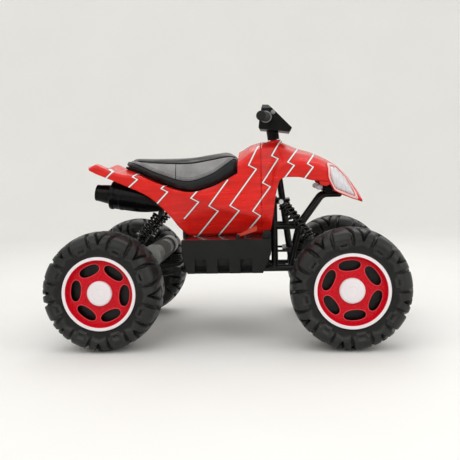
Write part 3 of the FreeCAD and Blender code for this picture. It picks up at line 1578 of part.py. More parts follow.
def make_shock(name, ends, spring_radius, spring_wire, spring_length, spring_turns):
    """The left shock: its upper half with the eye and rod, its lower half with the tube, and its spring."""
    top, foot = ends
    way = (foot - top).normalize()
    collar_radius = spring_radius + spring_wire
    collar_end = N.shock_collar_drop + N.shock_collar_thickness
    spring_end = collar_end + spring_length.value
    tube_start = top + way * spring_end
    rod_end = spring_end + N.shock_collar_thickness + N.shock_rod_dip
    upper_pieces = [
        disc(f"{name}_eye", top, ACROSS, S.shock_eye_radius, S.shock_eye_width),
        rod(f"{name}_rod", top, top + way * rod_end, S.shock_rod_radius),
        rod(f"{name}_upper_collar", top + way * N.shock_collar_drop, top + way * collar_end, collar_radius),
    ]
    eye_radius = S.shock_bolt_radius + S.shock_eye_play
    eye_bore = disc(f"{name}_eye_bore", top, ACROSS, eye_radius, S.shock_eye_width * 2)
    socket = ball(f"{name}_eye_socket", top, S.shock_ball_radius + S.shock_eye_play)
    upper = cut(f"{name}_upper", fuse(f"{name}_upper_solid", upper_pieces), [eye_bore, socket])
    lower_pieces = [
        disc(f"{name}_foot", foot, ACROSS, S.shock_eye_radius, S.shock_eye_width),
        rod(f"{name}_tube", tube_start, foot, S.shock_tube_radius),
        rod(f"{name}_lower_collar", tube_start, tube_start + way * N.shock_collar_thickness, collar_radius),
    ]
    bore_end = top + way * (rod_end + N.shock_travel_room)
    foot_radius = S.shock_bolt_radius + S.shock_foot_play
    foot_bore = disc(f"{name}_foot_bore", foot, ACROSS, foot_radius, S.shock_eye_width * 2)
    tools = [rod(f"{name}_tube_bore", top, bore_end, S.shock_rod_radius + S.running_fit), foot_bore]
    lower = cut(f"{name}_lower", fuse(f"{name}_lower_solid", lower_pieces), tools)
    coil_length = spring_length.value - 2 * N.seat_gap
    coil = spring_shape(name, spring_radius.value, spring_wire.value, coil_length, spring_turns)
    spring = raw(f"{name}_coil", coil, upright(top + way * (collar_end + N.seat_gap), way))
    return upper, lower, spring


def make_shocks():
    front = make_shock(
        "front_shock",
        front_shock_ends(),
        S.front_spring_radius,
        S.front_spring_wire,
        S.front_spring_length,
        N.front_spring_turns,
    )
    for label, piece in zip(("front_shock_upper", "front_shock_lower", "front_spring"), front):
        both_sides(label, piece)
    rear = make_shock(
        "rear_shock",
        rear_shock_ends(),
        S.rear_spring_radius,
        S.rear_spring_wire,
        S.rear_spring_length,
        N.rear_spring_turns,
    )
    for label, piece in zip(("rear_shock_uppers", "rear_shock_lowers", "rear_springs"), rear):
        node(group(label, [piece, mirrored(f"{label}_right", piece)]), label)


# Rear swing arm and drive


def rounded_plate(first, first_radius, second, second_radius, thickness):
    """A solid in a plane of constant Y round two discs of different radius, centred on its thickness."""
    run = second - first
    turn = Rotation(ALONG, run)
    lean = math.acos((first_radius - second_radius) / run.Length)
    rim = []
    for centre, radius in ((0, first_radius), (run.Length, second_radius)):
        along, up = centre + radius * math.cos(lean), radius * math.sin(lean)
        rim.append([Vector(along, 0, up), Vector(along, 0, -up)])
    outline = [rim[0][0], rim[1][0], rim[1][1], rim[0][1]]
    web = Part.Face(Part.makePolygon([*outline, outline[0]])).extrude(ACROSS * thickness)
    discs = [Part.makeCylinder(r, thickness, Vector(x, 0, 0), ACROSS)
             for x, r in ((0, first_radius), (run.Length, second_radius))]
    shape = web.multiFuse(discs).removeSplitter()
    shape.translate(ACROSS * (-thickness / 2))
    shape.Placement = Placement(first, turn).multiply(shape.Placement)
    return shape


def make_swing_arm():
    axle = Vector(-HALF_BASE, 0, N.wheel_radius)
    pivot = Vector(N.swing_pivot_x, 0, N.rail_height)
    arm_y = N.swing_pivot_spread / 2 - N.swing_barrel_length / 2
    _, foot = rear_shock_ends()
    spread = N.shock_eye_width / 2 + N.clevis_gap + N.clevis_thickness / 2
    half_housing = ACROSS * (N.axle_housing_spread / 2)
    pieces = [rod("axle_housing", axle - half_housing, axle + half_housing, S.axle_housing_radius)]
    for side, sign in (("left", 1), ("right", -1)):
        barrel = pivot + ACROSS * (sign * arm_y)
        name = f"swing_barrel_{side}"
        pieces.append(disc(name, barrel, ACROSS, S.swing_barrel_radius, S.swing_barrel_length))
        pieces.append(rod(f"swing_tube_{side}", barrel, axle + ACROSS * (sign * arm_y), S.swing_tube_radius))
        for name, offset in (("inner", -spread), ("outer", spread)):
            y = sign * (foot.y + offset)
            start = Vector(axle.x, y, axle.z)
            end = Vector(foot.x, y, foot.z)
            label = f"rear_clevis_{side}_{name}"
            pieces.append(link_plate(label, start, end, S.clevis_width, S.clevis_thickness))
        centre = Vector(foot.x, sign * foot.y, foot.z)
        half_pin = ACROSS * (spread + N.clevis_thickness / 2)
        name = f"rear_clevis_pin_{side}"
        pieces.append(rod(name, centre - half_pin, centre + half_pin, S.shock_bolt_radius))
    half_pivot = ACROSS * N.swing_pivot_spread
    tools = [
        rod("swing_bore", pivot - half_pivot, pivot + half_pivot, S.swing_pivot_radius + S.running_fit),
        rod("axle_bore", axle - half_housing * 2, axle + half_housing * 2, S.axle_radius),
    ]
    node(cut("rear_swing_arm", fuse("rear_swing_solid", pieces), tools), "rear_swing_arm")
    half_axle = ACROSS * (HALF_TRACK + disc_face.value + N.axle_tail)
    node(rod("rear_axle", axle - half_axle, axle + half_axle, S.axle_radius), "rear_axle")

    outer_face = HALF_TRACK - N.hub_reach - N.seat_gap
    box_y = outer_face - N.gearbox_width / 2
    head = Vector(N.motor_x, box_y, N.motor_z)
    case = rounded_plate(
        Vector(axle.x, box_y, axle.z), N.gearbox_foot_radius, head, N.gearbox_head_radius, N.gearbox_width
    )
    case = case.cut(Part.makeCylinder(N.axle_radius, outer_face, axle, ACROSS))
    gearbox = raw("gearbox_left", case)
    motor_y = outer_face - N.gearbox_width - N.motor_length / 2
    motor = disc("motor_left", Vector(N.motor_x, motor_y, N.motor_z), ACROSS, S.motor_radius, S.motor_length)
    node(group("gearboxes", [gearbox, mirrored("gearbox_right", gearbox)]), "gearboxes")
    node(group("motors", [motor, mirrored("motor_right", motor)]), "motors")


# Bolts that hold the suspension to the frame


def make_bolts():
    bolts = []
    for name, top in (("front", front_shock_ends()[0]), ("rear", rear_shock_ends()[0])):
        outer = N.shock_eye_width / 2 + N.clevis_gap
        start = top - ACROSS * (outer + N.shock_bracket_thickness)
        seat = top + ACROSS * outer
        head = seat + ACROSS * N.shock_bolt_head_height
        shank = rod(f"{name}_bolt_shank", start, seat, S.shock_bolt_radius)
        cap = rod(f"{name}_bolt_head", seat, head, S.shock_bolt_head_radius)
        knob = ball(f"{name}_bolt_ball", top, S.shock_ball_radius)
        bolts.append(fuse(f"{name}_bolt_left", [shank, cap, knob]))
    reach = N.arm_barrel_length / 2 + N.arm_bracket_gap + N.arm_bracket_thickness
    first, last = arm_barrel_places()
    pin_start = Vector(first - reach, ARM_PIVOT.y, ARM_PIVOT.z)
    pin_end = Vector(last + reach, ARM_PIVOT.y, ARM_PIVOT.z)
    bolts.append(rod("arm_pin_left", pin_start, pin_end, S.arm_pin_radius))
    twins = [mirrored(f"{bolt.Name}_twin", bolt) for bolt in bolts]
    node(group("suspension_bolts", [*bolts, *twins]), "suspension_bolts")


make_wheels()
LOWER_FRAME = make_lower_frame()
FRONT_FRAME = make_front_frame(LOWER_FRAME)
make_upper_frame(LOWER_FRAME, FRONT_FRAME)
make_tub()
make_footboards_and_pedal()
make_seat()
make_rear_shell()
make_front_cowl()
make_mufflers()
make_steering()
make_front_arm()
make_knuckle()
make_tie_rod()
make_shocks()
make_swing_arm()
make_bolts()

# Check every object and write the pieces

doc.recompute()
for thing in doc.Objects:
    if "Invalid" in thing.State or "Error" in thing.State:
        raise RuntimeError(f"{thing.Label} failed: {thing.State}")
for piece in NODES:
    if piece.Shape.isNull() or not piece.Shape.isValid():
        raise RuntimeError(f"{piece.Label} has no valid shape")
os.makedirs("parts", exist_ok=True)
for piece in NODES:
    piece.Shape.exportStep(f"parts/{piece.Label}.step")
print(len(NODES), "pieces written")
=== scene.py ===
import json
import math
from contextlib import contextmanager

import bmesh
import bpy
import numpy as np
from bpy.props import FloatProperty, FloatVectorProperty, IntProperty, PointerProperty
from bpy.types import Operator, Panel, PropertyGroup
from mathutils import Matrix, Vector
from mathutils.bvhtree import BVHTree


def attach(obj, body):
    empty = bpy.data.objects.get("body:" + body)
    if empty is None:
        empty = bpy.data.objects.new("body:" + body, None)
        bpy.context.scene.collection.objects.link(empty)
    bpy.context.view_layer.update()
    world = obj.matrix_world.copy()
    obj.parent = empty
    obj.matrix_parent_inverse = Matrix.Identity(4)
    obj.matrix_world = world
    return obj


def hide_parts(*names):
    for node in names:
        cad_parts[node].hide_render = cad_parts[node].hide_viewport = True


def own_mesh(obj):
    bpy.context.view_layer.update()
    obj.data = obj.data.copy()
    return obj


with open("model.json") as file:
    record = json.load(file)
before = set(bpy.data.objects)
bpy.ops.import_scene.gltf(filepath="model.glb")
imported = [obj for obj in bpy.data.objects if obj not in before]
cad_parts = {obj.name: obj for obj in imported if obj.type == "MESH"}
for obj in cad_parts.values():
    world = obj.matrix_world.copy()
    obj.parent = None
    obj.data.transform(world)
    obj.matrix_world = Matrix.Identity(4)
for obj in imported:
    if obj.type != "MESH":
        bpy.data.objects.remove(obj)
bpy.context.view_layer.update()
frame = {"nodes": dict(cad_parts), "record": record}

bl_info = {
    "name": "Kids Quad Bike",
    "version": (1, 0, 0),
    "blender": (4, 5, 0),
    "location": "View3D > Sidebar > Quad Bike",
    "description": "Dresses a child's ride-on quad bike: tyres, rims, shells, seat, lamps and trim",
    "category": "Object",
}

# Lengths are in millimetres, apart from those of finished meshes, settings, lights and camera, in metres.
MM = 0.001
FAR_OUT = 400
NODES = frame["nodes"]
SIDES = {"left": 1, "right": -1}

# Wheels: their places, and how far each rim and each tyre is turned.
WHEEL_PLACES = {
    "front_left": (340, 250, 5.4, 10.5),
    "front_right": (340, -250, 5.4, 10.5),
    "rear_left": (-340, 250, 24, 20.5),
    "rear_right": (-340, -250, 24, 20.5),
}
WHEEL_RADIUS = 165
HALF_TYRE = 75
LUG_HEIGHT = 8
TREAD_HALF = 48
TREAD_DROP = 5
SIDEWALL_RADIUS = 138
LUG_SIDE = 7
BEAD_RADIUS = 101.6
BEAD_LEVEL = 68.4
WALL_FOOT = 105.5
RIM_SEAT = 103.7
RIM_LIP = 92.7
RING_RADIUS = 101.3
RING_FACE = 70
RIM_FACE = 67
RIM_BACK = 47
DISC_FACE = 51
DISC_THICK = 4
DISC_EDGE = 1.2
DISC_RADIUS = 86.7
DISC_HOLE = 16
BOSS_CIRCLE = 48
WINDOW_CIRCLE = 67
WINDOW_SIZE = (59, 28.5)
LIP_SIZE = (61, 30.5)
TREAD_COLUMNS = 62
TREAD_MARK = "tread_height"
TYRE_INSIDE = [
    (107, -60), (128, -60), (147, -38), (147, 38), (128, 60), (114, 60), (114, 22), (24, 22), (24, -80),
    (8.05, -80), (8.05, 47), (24, 47), (24, 30), (104, 30), (104, 67.1), (BEAD_RADIUS, 67.1),
]

# The tread over one repeat: each groove's run in shares of the repeat round the wheel and millimetres out
# from the middle line, with its width, and how far out the raised rubber reaches.
GROOVES = [
    ([(0.37, 26), (0.40, 46), (0.5, 84)], 5.4),
    ([(0.63, 26), (0.60, 46), (0.5, 84)], 5.4),
    ([(0.37, 26), (0.5, 14), (0.63, 26)], 5.4),
    ([(0.10, 0), (0.15, 22), (0.20, 42), (0.27, 104)], 9),
    ([(0.90, 0), (0.85, 22), (0.80, 42), (0.73, 104)], 9),
    ([(-0.10, 0), (0.10, 0)], 7),
    ([(-0.06, 97), (0.06, 97)], 9),
]
RUBBER_ENDS = [
    (0.0, 110), (0.13, 110), (0.17, 98), (0.24, 97), (0.27, 103), (0.36, 99), (0.5, 94),
    (0.64, 99), (0.73, 103), (0.76, 97), (0.83, 98), (0.87, 110), (1.0, 110),
]

# Turned profiles: corners as radius and place on the axis, how far each inner corner is rounded and in
# how many steps, and the segments round the axis.
PROFILES = {
    "rim": (
        [(RIM_SEAT, RIM_BACK), (RIM_SEAT, RIM_FACE), (RIM_LIP, RIM_FACE), (DISC_RADIUS, DISC_FACE),
         (DISC_RADIUS - 4, DISC_FACE - 1), (DISC_RADIUS - 4, RIM_BACK)],
        [1.5, 2.5, 5, 1], 4, 96,
    ),
    "ring": (
        [(98, RIM_FACE), (RING_RADIUS, RIM_FACE), (RING_RADIUS, RING_FACE), (RIM_LIP, RING_FACE),
         (RIM_LIP, RIM_FACE), (98, RIM_FACE)],
        [0.3, 1.3, 1.3, 0.3], 4, 128,
    ),
    "hub_cap": (
        [(0, 64.4), (12, 64.2), (13, 64.9), (29, 64.3), (34, 61), (34, DISC_FACE), (31, DISC_FACE),
         (30.5, 58), (18, 61), (0, 61)],
        [0.6, 0.8, 4, 2.5, 0.3, 0.3, 3, 4], 4, 64,
    ),
    "reflector": ([(0, 8), (4, 7), (6.5, 3), (7, -3), (0, -3)], [2.5, 2, 1], 4, 32),
    "lamp_holder": (
        [(0, 0), (13, 0), (14, 20), (9.5, 23), (9.5, 30), (7, 31), (7, 26), (0, 26)],
        [3, 2, 1, 1, 0.5, 0.5], 4, 32,
    ),
    "lamp_bulb": (
        [(0, 26.2), (6.6, 26.2), (6.6, 34), (8.5, 42), (5, 49), (0, 50)], [0.5, 3, 4, 3], 5, 32,
    ),
    "horn_knob": ([(0, 4.2), (5, 3.9), (6.9, 2.2), (6.95, -10), (0, -10)], [2, 2, 0.5], 4, 36),
    "column_lip": ([(19, -5), (19, 2.5), (20.8, 3.4), (23, 1), (24.5, -5)], [0.8, 1, 2], 4, 48),
    "muffler_can": (
        [(0, 0), (39, 0), (42, 2), (42, 11), (39.6, 12.5), (39.6, 30), (40.6, 31), (40.6, 40), (39.6, 41),
         (39.2, 100), (24, 167.5), (0, 168)],
        [1, 2, 2, 1, 1, 0.6, 0.6, 1, 30, 4], 5, 64,
    ),
    "muffler_tip": (
        [(0, -16), (20, -16), (20.4, -43), (21.5, -46), (24, -45), (24.5, -42), (24.2, -38), (29, -2),
         (29, 0), (0, 0)],
        [0.6, 2, 1.2, 1.2, 1.2, 3, 1, 0.5], 4, 64,
    ),
    "screw": (
        [(0, -0.9), (1.7, -0.9), (1.9, 0.9), (3.6, 0.5), (4.2, -0.6), (4.2, -1.4), (0, -1.4)],
        [0.2, 0.4, 0.8, 0.4, 0.2], 3, 24,
    ),
}
BOSS_DOME = [(0, 1.5), (4.4, 1.4), (5.3, 0.9), (5.8, -0.4), (5.8, -2), (0, -2)]

# Body sections as shares of length, rise and half width: place, centre height, then width and height of the
# shoulder, the crease and the bottom edge.
SHELL_BASE = 298.3
SHELL_RISE = 276
SHELL_WALL = 3
SHELL_CROWN = 3.2
CROWN_STEPS = 7
SHELL_FILLETS = [15, 9]
REAR_START, REAR_LENGTH, REAR_HALF = -400, 499.4, 150
REAR_SHARES = [
    (0.000, 0.690, 0.87, 0.768, 0.985, 0.750, 0.985, 0.728),
    (0.042, 0.680, 0.85, 0.797, 1.000, 0.779, 1.000, 0.690),
    (0.075, 0.676, 0.83, 0.771, 1.000, 0.755, 1.000, 0.664),
    (0.126, 0.680, 0.79, 0.732, 1.000, 0.717, 1.000, 0.626),
    (0.160, 0.700, 0.77, 0.708, 1.000, 0.694, 1.000, 0.600),
    (0.180, 0.745, 0.755, 0.700, 1.000, 0.684, 1.000, 0.583),
    (0.194, 0.760, 0.75, 0.700, 1.000, 0.676, 1.000, 0.572),
    (0.344, 0.752, 0.79, 0.660, 0.980, 0.638, 0.980, 0.438),
    (0.474, 0.732, 0.79, 0.615, 0.930, 0.515, 0.905, 0.210),
    (0.526, 0.732, 0.79, 0.605, 0.880, 0.460, 0.790, 0.079),
    (0.580, 0.732, 0.79, 0.595, 0.853, 0.425, 0.670, 0.000),
    (0.760, 0.804, 0.77, 0.660, 0.840, 0.340, 0.640, 0.000),
    (0.880, 0.906, 0.69, 0.786, 0.827, 0.262, 0.640, 0.000),
    (0.944, 0.970, 0.64, 0.870, 0.827, 0.232, 0.653, 0.000),
    (1.000, 0.996, 0.613, 0.920, 0.840, 0.210, 0.693, 0.000),
]
COWL_START, COWL_LENGTH, COWL_HALF = 100, 301, 140
COWL_SHARES = [
    (0.000, 0.996, 0.657, 0.920, 0.900, 0.210, 0.743, 0.000),
    (0.037, 0.996, 0.657, 0.923, 0.914, 0.298, 0.790, 0.022),
    (0.080, 0.998, 0.671, 0.926, 0.943, 0.406, 0.871, 0.065),
    (0.103, 0.998, 0.679, 0.928, 0.957, 0.480, 0.914, 0.174),
    (0.136, 1.000, 0.686, 0.930, 0.986, 0.623, 0.971, 0.424),
    (0.176, 1.000, 0.700, 0.930, 1.000, 0.732, 1.000, 0.573),
    (0.239, 0.975, 0.714, 0.912, 1.000, 0.768, 1.000, 0.611),
    (0.349, 0.922, 0.714, 0.868, 0.993, 0.760, 0.993, 0.609),
    (0.492, 0.871, 0.693, 0.830, 0.971, 0.732, 0.971, 0.572),
    (0.631, 0.800, 0.643, 0.760, 0.929, 0.684, 0.929, 0.556),
    (0.701, 0.753, 0.600, 0.716, 0.900, 0.622, 0.900, 0.462),
    (0.797, 0.658, 0.543, 0.629, 0.829, 0.535, 0.829, 0.412),
    (0.897, 0.528, 0.471, 0.506, 0.743, 0.433, 0.743, 0.364),
    (0.970, 0.405, 0.414, 0.390, 0.671, 0.361, 0.671, 0.336),
    (1.000, 0.339, 0.386, 0.332, 0.629, 0.325, 0.629, 0.317),
]
NOSE_TRIM = 7
REFLECTOR_AXIS = (-399, 130, 506), (-400, 130, 506.2)
TAB_WIDTH, TAB_DROP, TAB_RISE, TAB_THICK, TAB_EDGE = 17, 13, 9, 3, 0.9
TAB_PLACE = (284, 127.5, 452)

# The seat: the line it rests on, its own sections (place, top height, half width) and the corners of
# a section (out, up), all as shares, and the band's height along it. A side seam or crease has its shift
# from the seam's place, its lean, and where it starts and ends between the band and the top edge.
SEAT_START, SEAT_LENGTH, SEAT_LOW, SEAT_RISE, SEAT_HALF = -310, 341, 436, 108, 125
SEAT_END = SEAT_START + SEAT_LENGTH
SADDLE_SHARES = [
    (0.000, 0.690), (0.141, 0.519), (0.323, 0.250), (0.592, 0.000), (0.774, 0.125), (0.909, 0.324),
    (1.000, 0.481),
]
CUSHION_SHARES = [
    (0.000, 0.785, 0.56), (0.020, 0.846, 0.67), (0.110, 0.870, 0.84), (0.270, 0.855, 0.97),
    (0.440, 0.852, 1.00), (0.592, 0.868, 1.00), (0.774, 0.944, 0.96), (0.909, 0.990, 0.88),
    (0.973, 0.940, 0.80), (1.000, 0.800, 0.74),
]
CUSHION_CORNERS = [(0, 0), (0.985, 0), (1, 0.3), (0.94, 0.66), (0.80, 0.9), (0.5, 0.985), (0, 1)]
BAND_HEIGHTS = [(0.0, 13), (0.1, 19), (0.5, 24), (0.75, 30), (0.92, 40), (1.0, 46)]
CUSHION_FILLETS = [4, 14, 12, 10, 30]
BAND_MOST, EDGE_HEIGHT, EDGE_WIDTH = 0.74, 0.84, 0.9
SEAM_BLUR = 0.0005
SEAM_REACH, CREASE_REACH, CREASE_PULL = 0.0042, 0.0045, 0.55
STITCH_RISES = (4.5, 9.5)
SIDE_SEAMS = [
    ("side", 0, -2, 0, 1), ("crease_near", -9, -9, 0.25, 0.8), ("crease_far", -22, -12, 0.4, 0.85),
    ("crease_front", 13, 6, 0.1, 0.45),
]
PAD_PRESSURE = 4.0
PAD_STEPS = 20
SEAT_SEAM_X = -150
SEAT_FLOOR_DROP = 6.6
COVER_CELL = 0.0052

# Headlights: outline in side view, along the bike and up, and the rows of frame, lens and bowl as
# share of the outline and lift off the cowl.
LAMP_OUTLINE = [(290, 508), (293, 461), (311, 424), (386, 392), (351, 463), (316, 502)]
LAMP_CORNER = 7
LAMP_COLUMNS = 72
LENS_SHARE = 0.775
FRAME_WIDTH = 16
LAMP_FRAME = [(1.0, -1.5), (1.0, 1.4), (0.97, 2.6), (0.80, 2.8), (0.765, 1.6), (0.765, -3)]
LAMP_LENS = [(LENS_SHARE, 0.2), (0.74, 1.8), (0.55, 2.6), (0.3, 3.0), (0.08, 3.2)]
LAMP_BOWL = [(LENS_SHARE, -1.0), (0.70, -9), (0.52, -15), (0.3, -18), (0.08, -19)]
LAMP_EDGES = [(1.0, 1.3, 1.7), (0.785, 2.5, 0.8)]
BULB_AXIS = (308, 96, 431), (252, 96, 437)

# Handlebar and steering column.
COLUMN_TOP = Vector((129, 0, 646))
COLUMN_RAKE = 0.12915
COLUMN_WAY = Vector((-math.sin(COLUMN_RAKE), 0, math.cos(COLUMN_RAKE)))
COLUMN_HOLE = 15
COLUMN_LIP_DROP = 72
BAR_BEND, BAR_END = Vector((126, 75, 642)), Vector((107, 260, 634))
GRIP_LENGTH = 112
GRIP_FLANGE = [(11.05, 0), (16.4, 0), (17, 0.8), (17, 3.6), (16.4, 4.4), (13.2, 5.5)]
GRIP_RIB = [(12.8, 0), (13.7, 0.9), (13.7, 3.2), (12.8, 4.1)]
RIB_COUNT, RIB_START, RIB_PITCH = 16, 9, 5.6
GRIP_CLOSING = [(13.6, -5), (13.4, -2), (11.5, 0), (0.0, 0), (0.0, -3.9), (11.05, -3.9)]
GRIP_BAND = [(13.3, 4.5), (16.2, 4.5), (16.7, 5.1), (16.7, 6.3), (16.2, 6.9), (13.9, 6.9)]
HORN_AXIS = (138, -64, 659), (138, -65, 659)
MUFFLER_AXIS = (-346, 104, 426), (-178, 104, 398)

# Springs: top and foot of each shock, how far down the coil starts, its length, radius, wire and turns, and
# the travel that it takes up, in metres.
SPRINGS = {
    "front": ((157, 75, 394), (312, 112, 191), 17, 118, 14, 6.2, 9, 0.0049),
    "rear": ((-205, 66, 366), (-296, 66, 262), 17, 76, 15, 6.4, 6, 0.0188),
}
SPRING_ROOM = 0.3
COIL_STEPS = 24
CLOSED_TURN, CLOSED_RISE = 0.75, 0.9

# Nose tubes of the front frame: joint, bend and tip along the bike and up, and how far the bend reaches.
NOSE_TUBE = [(212, 318), (281, 412), (330, 412)]
NOSE_TUBE_Y = 58
NOSE_TUBE_RADIUS = 8
BEND_REACH = 30

# CAD nodes shown with softened edges: how wide the edges are, the body and the slot.
SOFTENED = {
    "footboard_left": (3.0, "chassis", "charcoal"),
    "footboard_right": (1.6, "chassis", "charcoal"),
    "accelerator_pedal": (1.2, "accelerator_pedal", "pedal_orange"),
    "gearboxes": (3.0, "rear_swing", "motor_grey"),
}

# Footboards: where the tread plate and the recess floors lie, the screws, and the outlines, across the
# bike and up, of the slope at the top of each recess and the sill at its foot.
FOOTBOARD_TOP = 290
RECESS_FLOOR = 213.6
FOOTBOARD_SCREWS = [(-63, 221.6, 239), (46, 221.6, 239)]
SLOPE_OUT = (0, 0.917, -0.398)
RECESS_CENTRES = [-71.5, -7.5, 56.5]
RECESS_LENGTH = 32.6
RECESS_FORMS = [
    [(213.3, 244.8), (223.6, 244.8), (223.6, 243.4), (214.6, 223), (213.3, 223)],
    [(213.3, 203.2), (223.2, 203.2), (222.6, 204.4), (214.4, 209.5), (213.3, 209.5)],
]

# Toe boards at the front of the footboards: outline along the bike and up, width and middle across it.
TOE_OUTLINE = [(101, 297), (125.5, 297), (125.5, 312), (120, 318), (106, 318)]
TOE_WIDTH = 54
TOE_MIDDLE = 181

# Accelerator pedal: its hinge and tread, and the outline of the cheeks under the tread's sides.
PEDAL_HINGE = (33, -172, 303.8)
PEDAL_LENGTH = 58
PEDAL_RISE = 25
PEDAL_WIDTH = 46
PEDAL_CHEEK = [(7, -1), (57, -1), (57, -9), (53, -10), (30, -7), (9, -4)]
PEDAL_CHEEK_THICK = 3

# The stage: a round floor that curves up into a wall; lights as place, aim, size and the setting of
# their power, and the camera's place and turns, in metres and radians.
STAGE_RADIUS = 4600
STAGE_WALL = 2600
STAGE_CURVE = 1500
LIGHTS = {
    "key": ((-0.9, -2.0, 2.6), (0, 0, 0.3), 3.0, "key_power"),
    "fill": ((2.2, -1.4, 1.5), (0.1, 0, 0.35), 1.8, "fill_power"),
    "back": ((0.2, 1.5, 2.4), (0, 0, 0.3), 2.0, "fill_power"),
}
WORLD_COLOUR = (0.92, 0.92, 0.9, 1)
WORLD_STRENGTH = 0.9
CAMERA_PLACE = (0.1491, -2.1051, 0.4875)
CAMERA_YAW, CAMERA_PITCH, CAMERA_ROLL = -0.072, -0.086, -0.024

# Painted slashes on the shells in side view: millimetres along the bike and up.
SLASHES = [
    [(-128, 352), (-84, 400), (-106, 412), (-82, 438)],
    [(-92, 298), (-28, 372), (-54, 388), (2, 462)],
    [(-30, 298), (34, 372), (8, 388), (86, 492), (64, 504), (92, 560)],
    [(46, 298), (96, 356), (74, 370), (126, 440), (104, 452), (150, 520), (132, 530), (160, 578)],
    [(166, 462), (196, 500), (178, 510), (214, 556)],
    [(222, 458), (250, 494), (234, 504), (262, 540)],
    [(-206, 396), (-172, 432), (-190, 442), (-164, 466)],
    [(-286, 446), (-258, 470), (-272, 478), (-256, 492)],
    [(-352, 474), (-330, 494), (-342, 501), (-334, 512)],
]

# Finishes: colour (a setting's name or a value), roughness, how much and how finely the tone varies,
# strength and fineness of the grain, specular level, then other sockets and the mesh attribute from which
# hollows are painted dark as shade and edges pale as highlight.
GRAIN_DEPTH = 0.0006
FINISHES = {
    "tyre_black": ("rubber", 0.4, 0.35, 12, 0.3, 420, 0.3, {}, TREAD_MARK),
    "rim_red": ("rim_red", 0.34, 0.25, 300, 0.35, 700, 0.15, {"coat_weight": 0.06}),
    # Rim red painted lighter, as the highlight on the window lips.
    "rim_edge": ("rim_edge", 0.3, 0.15, 200, 0.15, 900, 0.3),
    "trim_white": ("trim_white", 0.4, 0.03, 30, 0.06, 900, 0.3),
    "frame_black": ("frame", 0.34, 0.25, 30, 0.3, 1300, 0.3),
    "shock_black": ("frame", 0.25, 0.2, 30, 0.1, 900, 0.4),
    "steel": ((0.62, 0.62, 0.64), 0.28, 0.1, 120, 0.15, 900, 0.5, {"metallic": 1.0}),
    "charcoal": ("charcoal", 0.5, 0.15, 30, 0.5, 1500, 0.18),
    "black_plastic": ("plastic", 0.42, 0.2, 30, 0.3, 1600, 0.14),
    "gloss_black": ("gloss", 0.14, 0.25, 30, 0.04, 900, 0.1, {"coat_weight": 0.02}),
    "glossy_tread": ("charcoal", 0.16, 0.2, 30, 0.12, 500, 0.6),
    # A darker black painted into the recesses as shade.
    "recess_black": ("plastic", 0.55, 0.2, 30, 0.4, 1500, 0.1),
    "lamp_white": ("lamp_frame", 0.22, 0.04, 30, 0.05, 900, 0.5, {"coat_weight": 0.3}),
    "grip_rubber": ("plastic", 0.55, 0.2, 30, 0.5, 1400, 0.3),
    "pedal_orange": ("pedal", 0.35, 0.12, 30, 0.2, 900, 0.3),
    "button_grey": ((0.20, 0.20, 0.21), 0.3, 0.08, 30, 0.1, 900, 0.5),
    "motor_grey": ("motor", 0.45, 0.12, 30, 0.35, 1000, 0.5),
    "thread": ("band", 0.6, 0.3, 30, 0.3, 900, 0.3),
    "battery_grey": ((0.12, 0.12, 0.13), 0.5, 0.1, 30, 0.3, 900, 0.5),
    "mirror_bowl": ((0.86, 0.86, 0.92), 0.2, 0.03, 30, 0.02, 900, 0.5, {"metallic": 0.5}),
}


# Curves and meshes


def eased(rows, place):
    """The values of a table of rows at a place along it, eased between rows without overshooting."""
    table = np.array(rows, float)
    xs, ys = table[:, 0], table[:, 1:]
    slope = np.diff(ys, axis=0) / np.diff(xs)[:, None]
    tangent = np.zeros_like(ys)
    tangent[0], tangent[-1] = slope[0], slope[-1]
    before, after = slope[:-1], slope[1:]
    same = before * after > 0
    total = np.where(same, before + after, 1)
    tangent[1:-1] = np.where(same, 2 * before * after / total, 0)
    place = min(max(place, xs[0]), xs[-1])
    i = int(min(np.searchsorted(xs, place, "right") - 1, len(xs) - 2))
    span = xs[i + 1] - xs[i]
    t = (place - xs[i]) / span
    start, end = (1 + 2 * t) * (1 - t) ** 2, t * t * (3 - 2 * t)
    leave, arrive = t * (1 - t) ** 2 * span, t * t * (t - 1) * span
    return start * ys[i] + end * ys[i + 1] + leave * tangent[i] + arrive * tangent[i + 1]


def rounded(corners, fillets, steps):
    """A run through corners with each inner corner rounded over its own distance."""
    corners = [Vector(corner) for corner in corners]
    points = [corners[0]]
    for before, corner, after, reach in zip(corners, corners[1:], corners[2:], fillets):
        back, on = before - corner, after - corner
        start = corner + back * min(reach / max(back.length, 0.01), 0.45)
        end = corner + on * min(reach / max(on.length, 0.01), 0.45)
        for k in range(steps + 1):
            t = k / steps
            points.append(start * (1 - t) ** 2 + corner * (2 * t * (1 - t)) + end * t * t)
    return [*points, corners[-1]]


def spaced(points, count, closed=False):
    """Points evenly spaced along a run."""
    run = [Vector(p) for p in points]
    if closed:
        run.append(run[0])
    marks = [0.0]
    for p, q in zip(run, run[1:]):
        marks.append(marks[-1] + (q - p).length)
    made = []
    for k in range(count):
        want = marks[-1] * k / (count if closed else count - 1)
        i = min(int(np.searchsorted(marks, want, "right")) - 1, len(run) - 2)
        span = marks[i + 1] - marks[i]
        made.append(run[i].lerp(run[i + 1], (want - marks[i]) / span if span else 0))
    return made


def circle(radius, count):
    turns = [math.tau * k / count for k in range(count)]
    return [(math.sin(turn) * radius, math.cos(turn) * radius) for turn in turns]


def grid_faces(rows, columns, wrap_rows=False, wrap_columns=False, ends=()):
    """Faces over a grid of points; ends are the rows, 0 the first and -1 the last, that are closed."""
    faces = []
    for i in range(rows if wrap_rows else rows - 1):
        for j in range(columns if wrap_columns else columns - 1):
            k, m = (i + 1) % rows, (j + 1) % columns
            faces.append((i * columns + j, i * columns + m, k * columns + m, k * columns + j))
    for end in ends:
        first = end % rows * columns
        faces.append(tuple(range(first, first + columns)))
    return faces


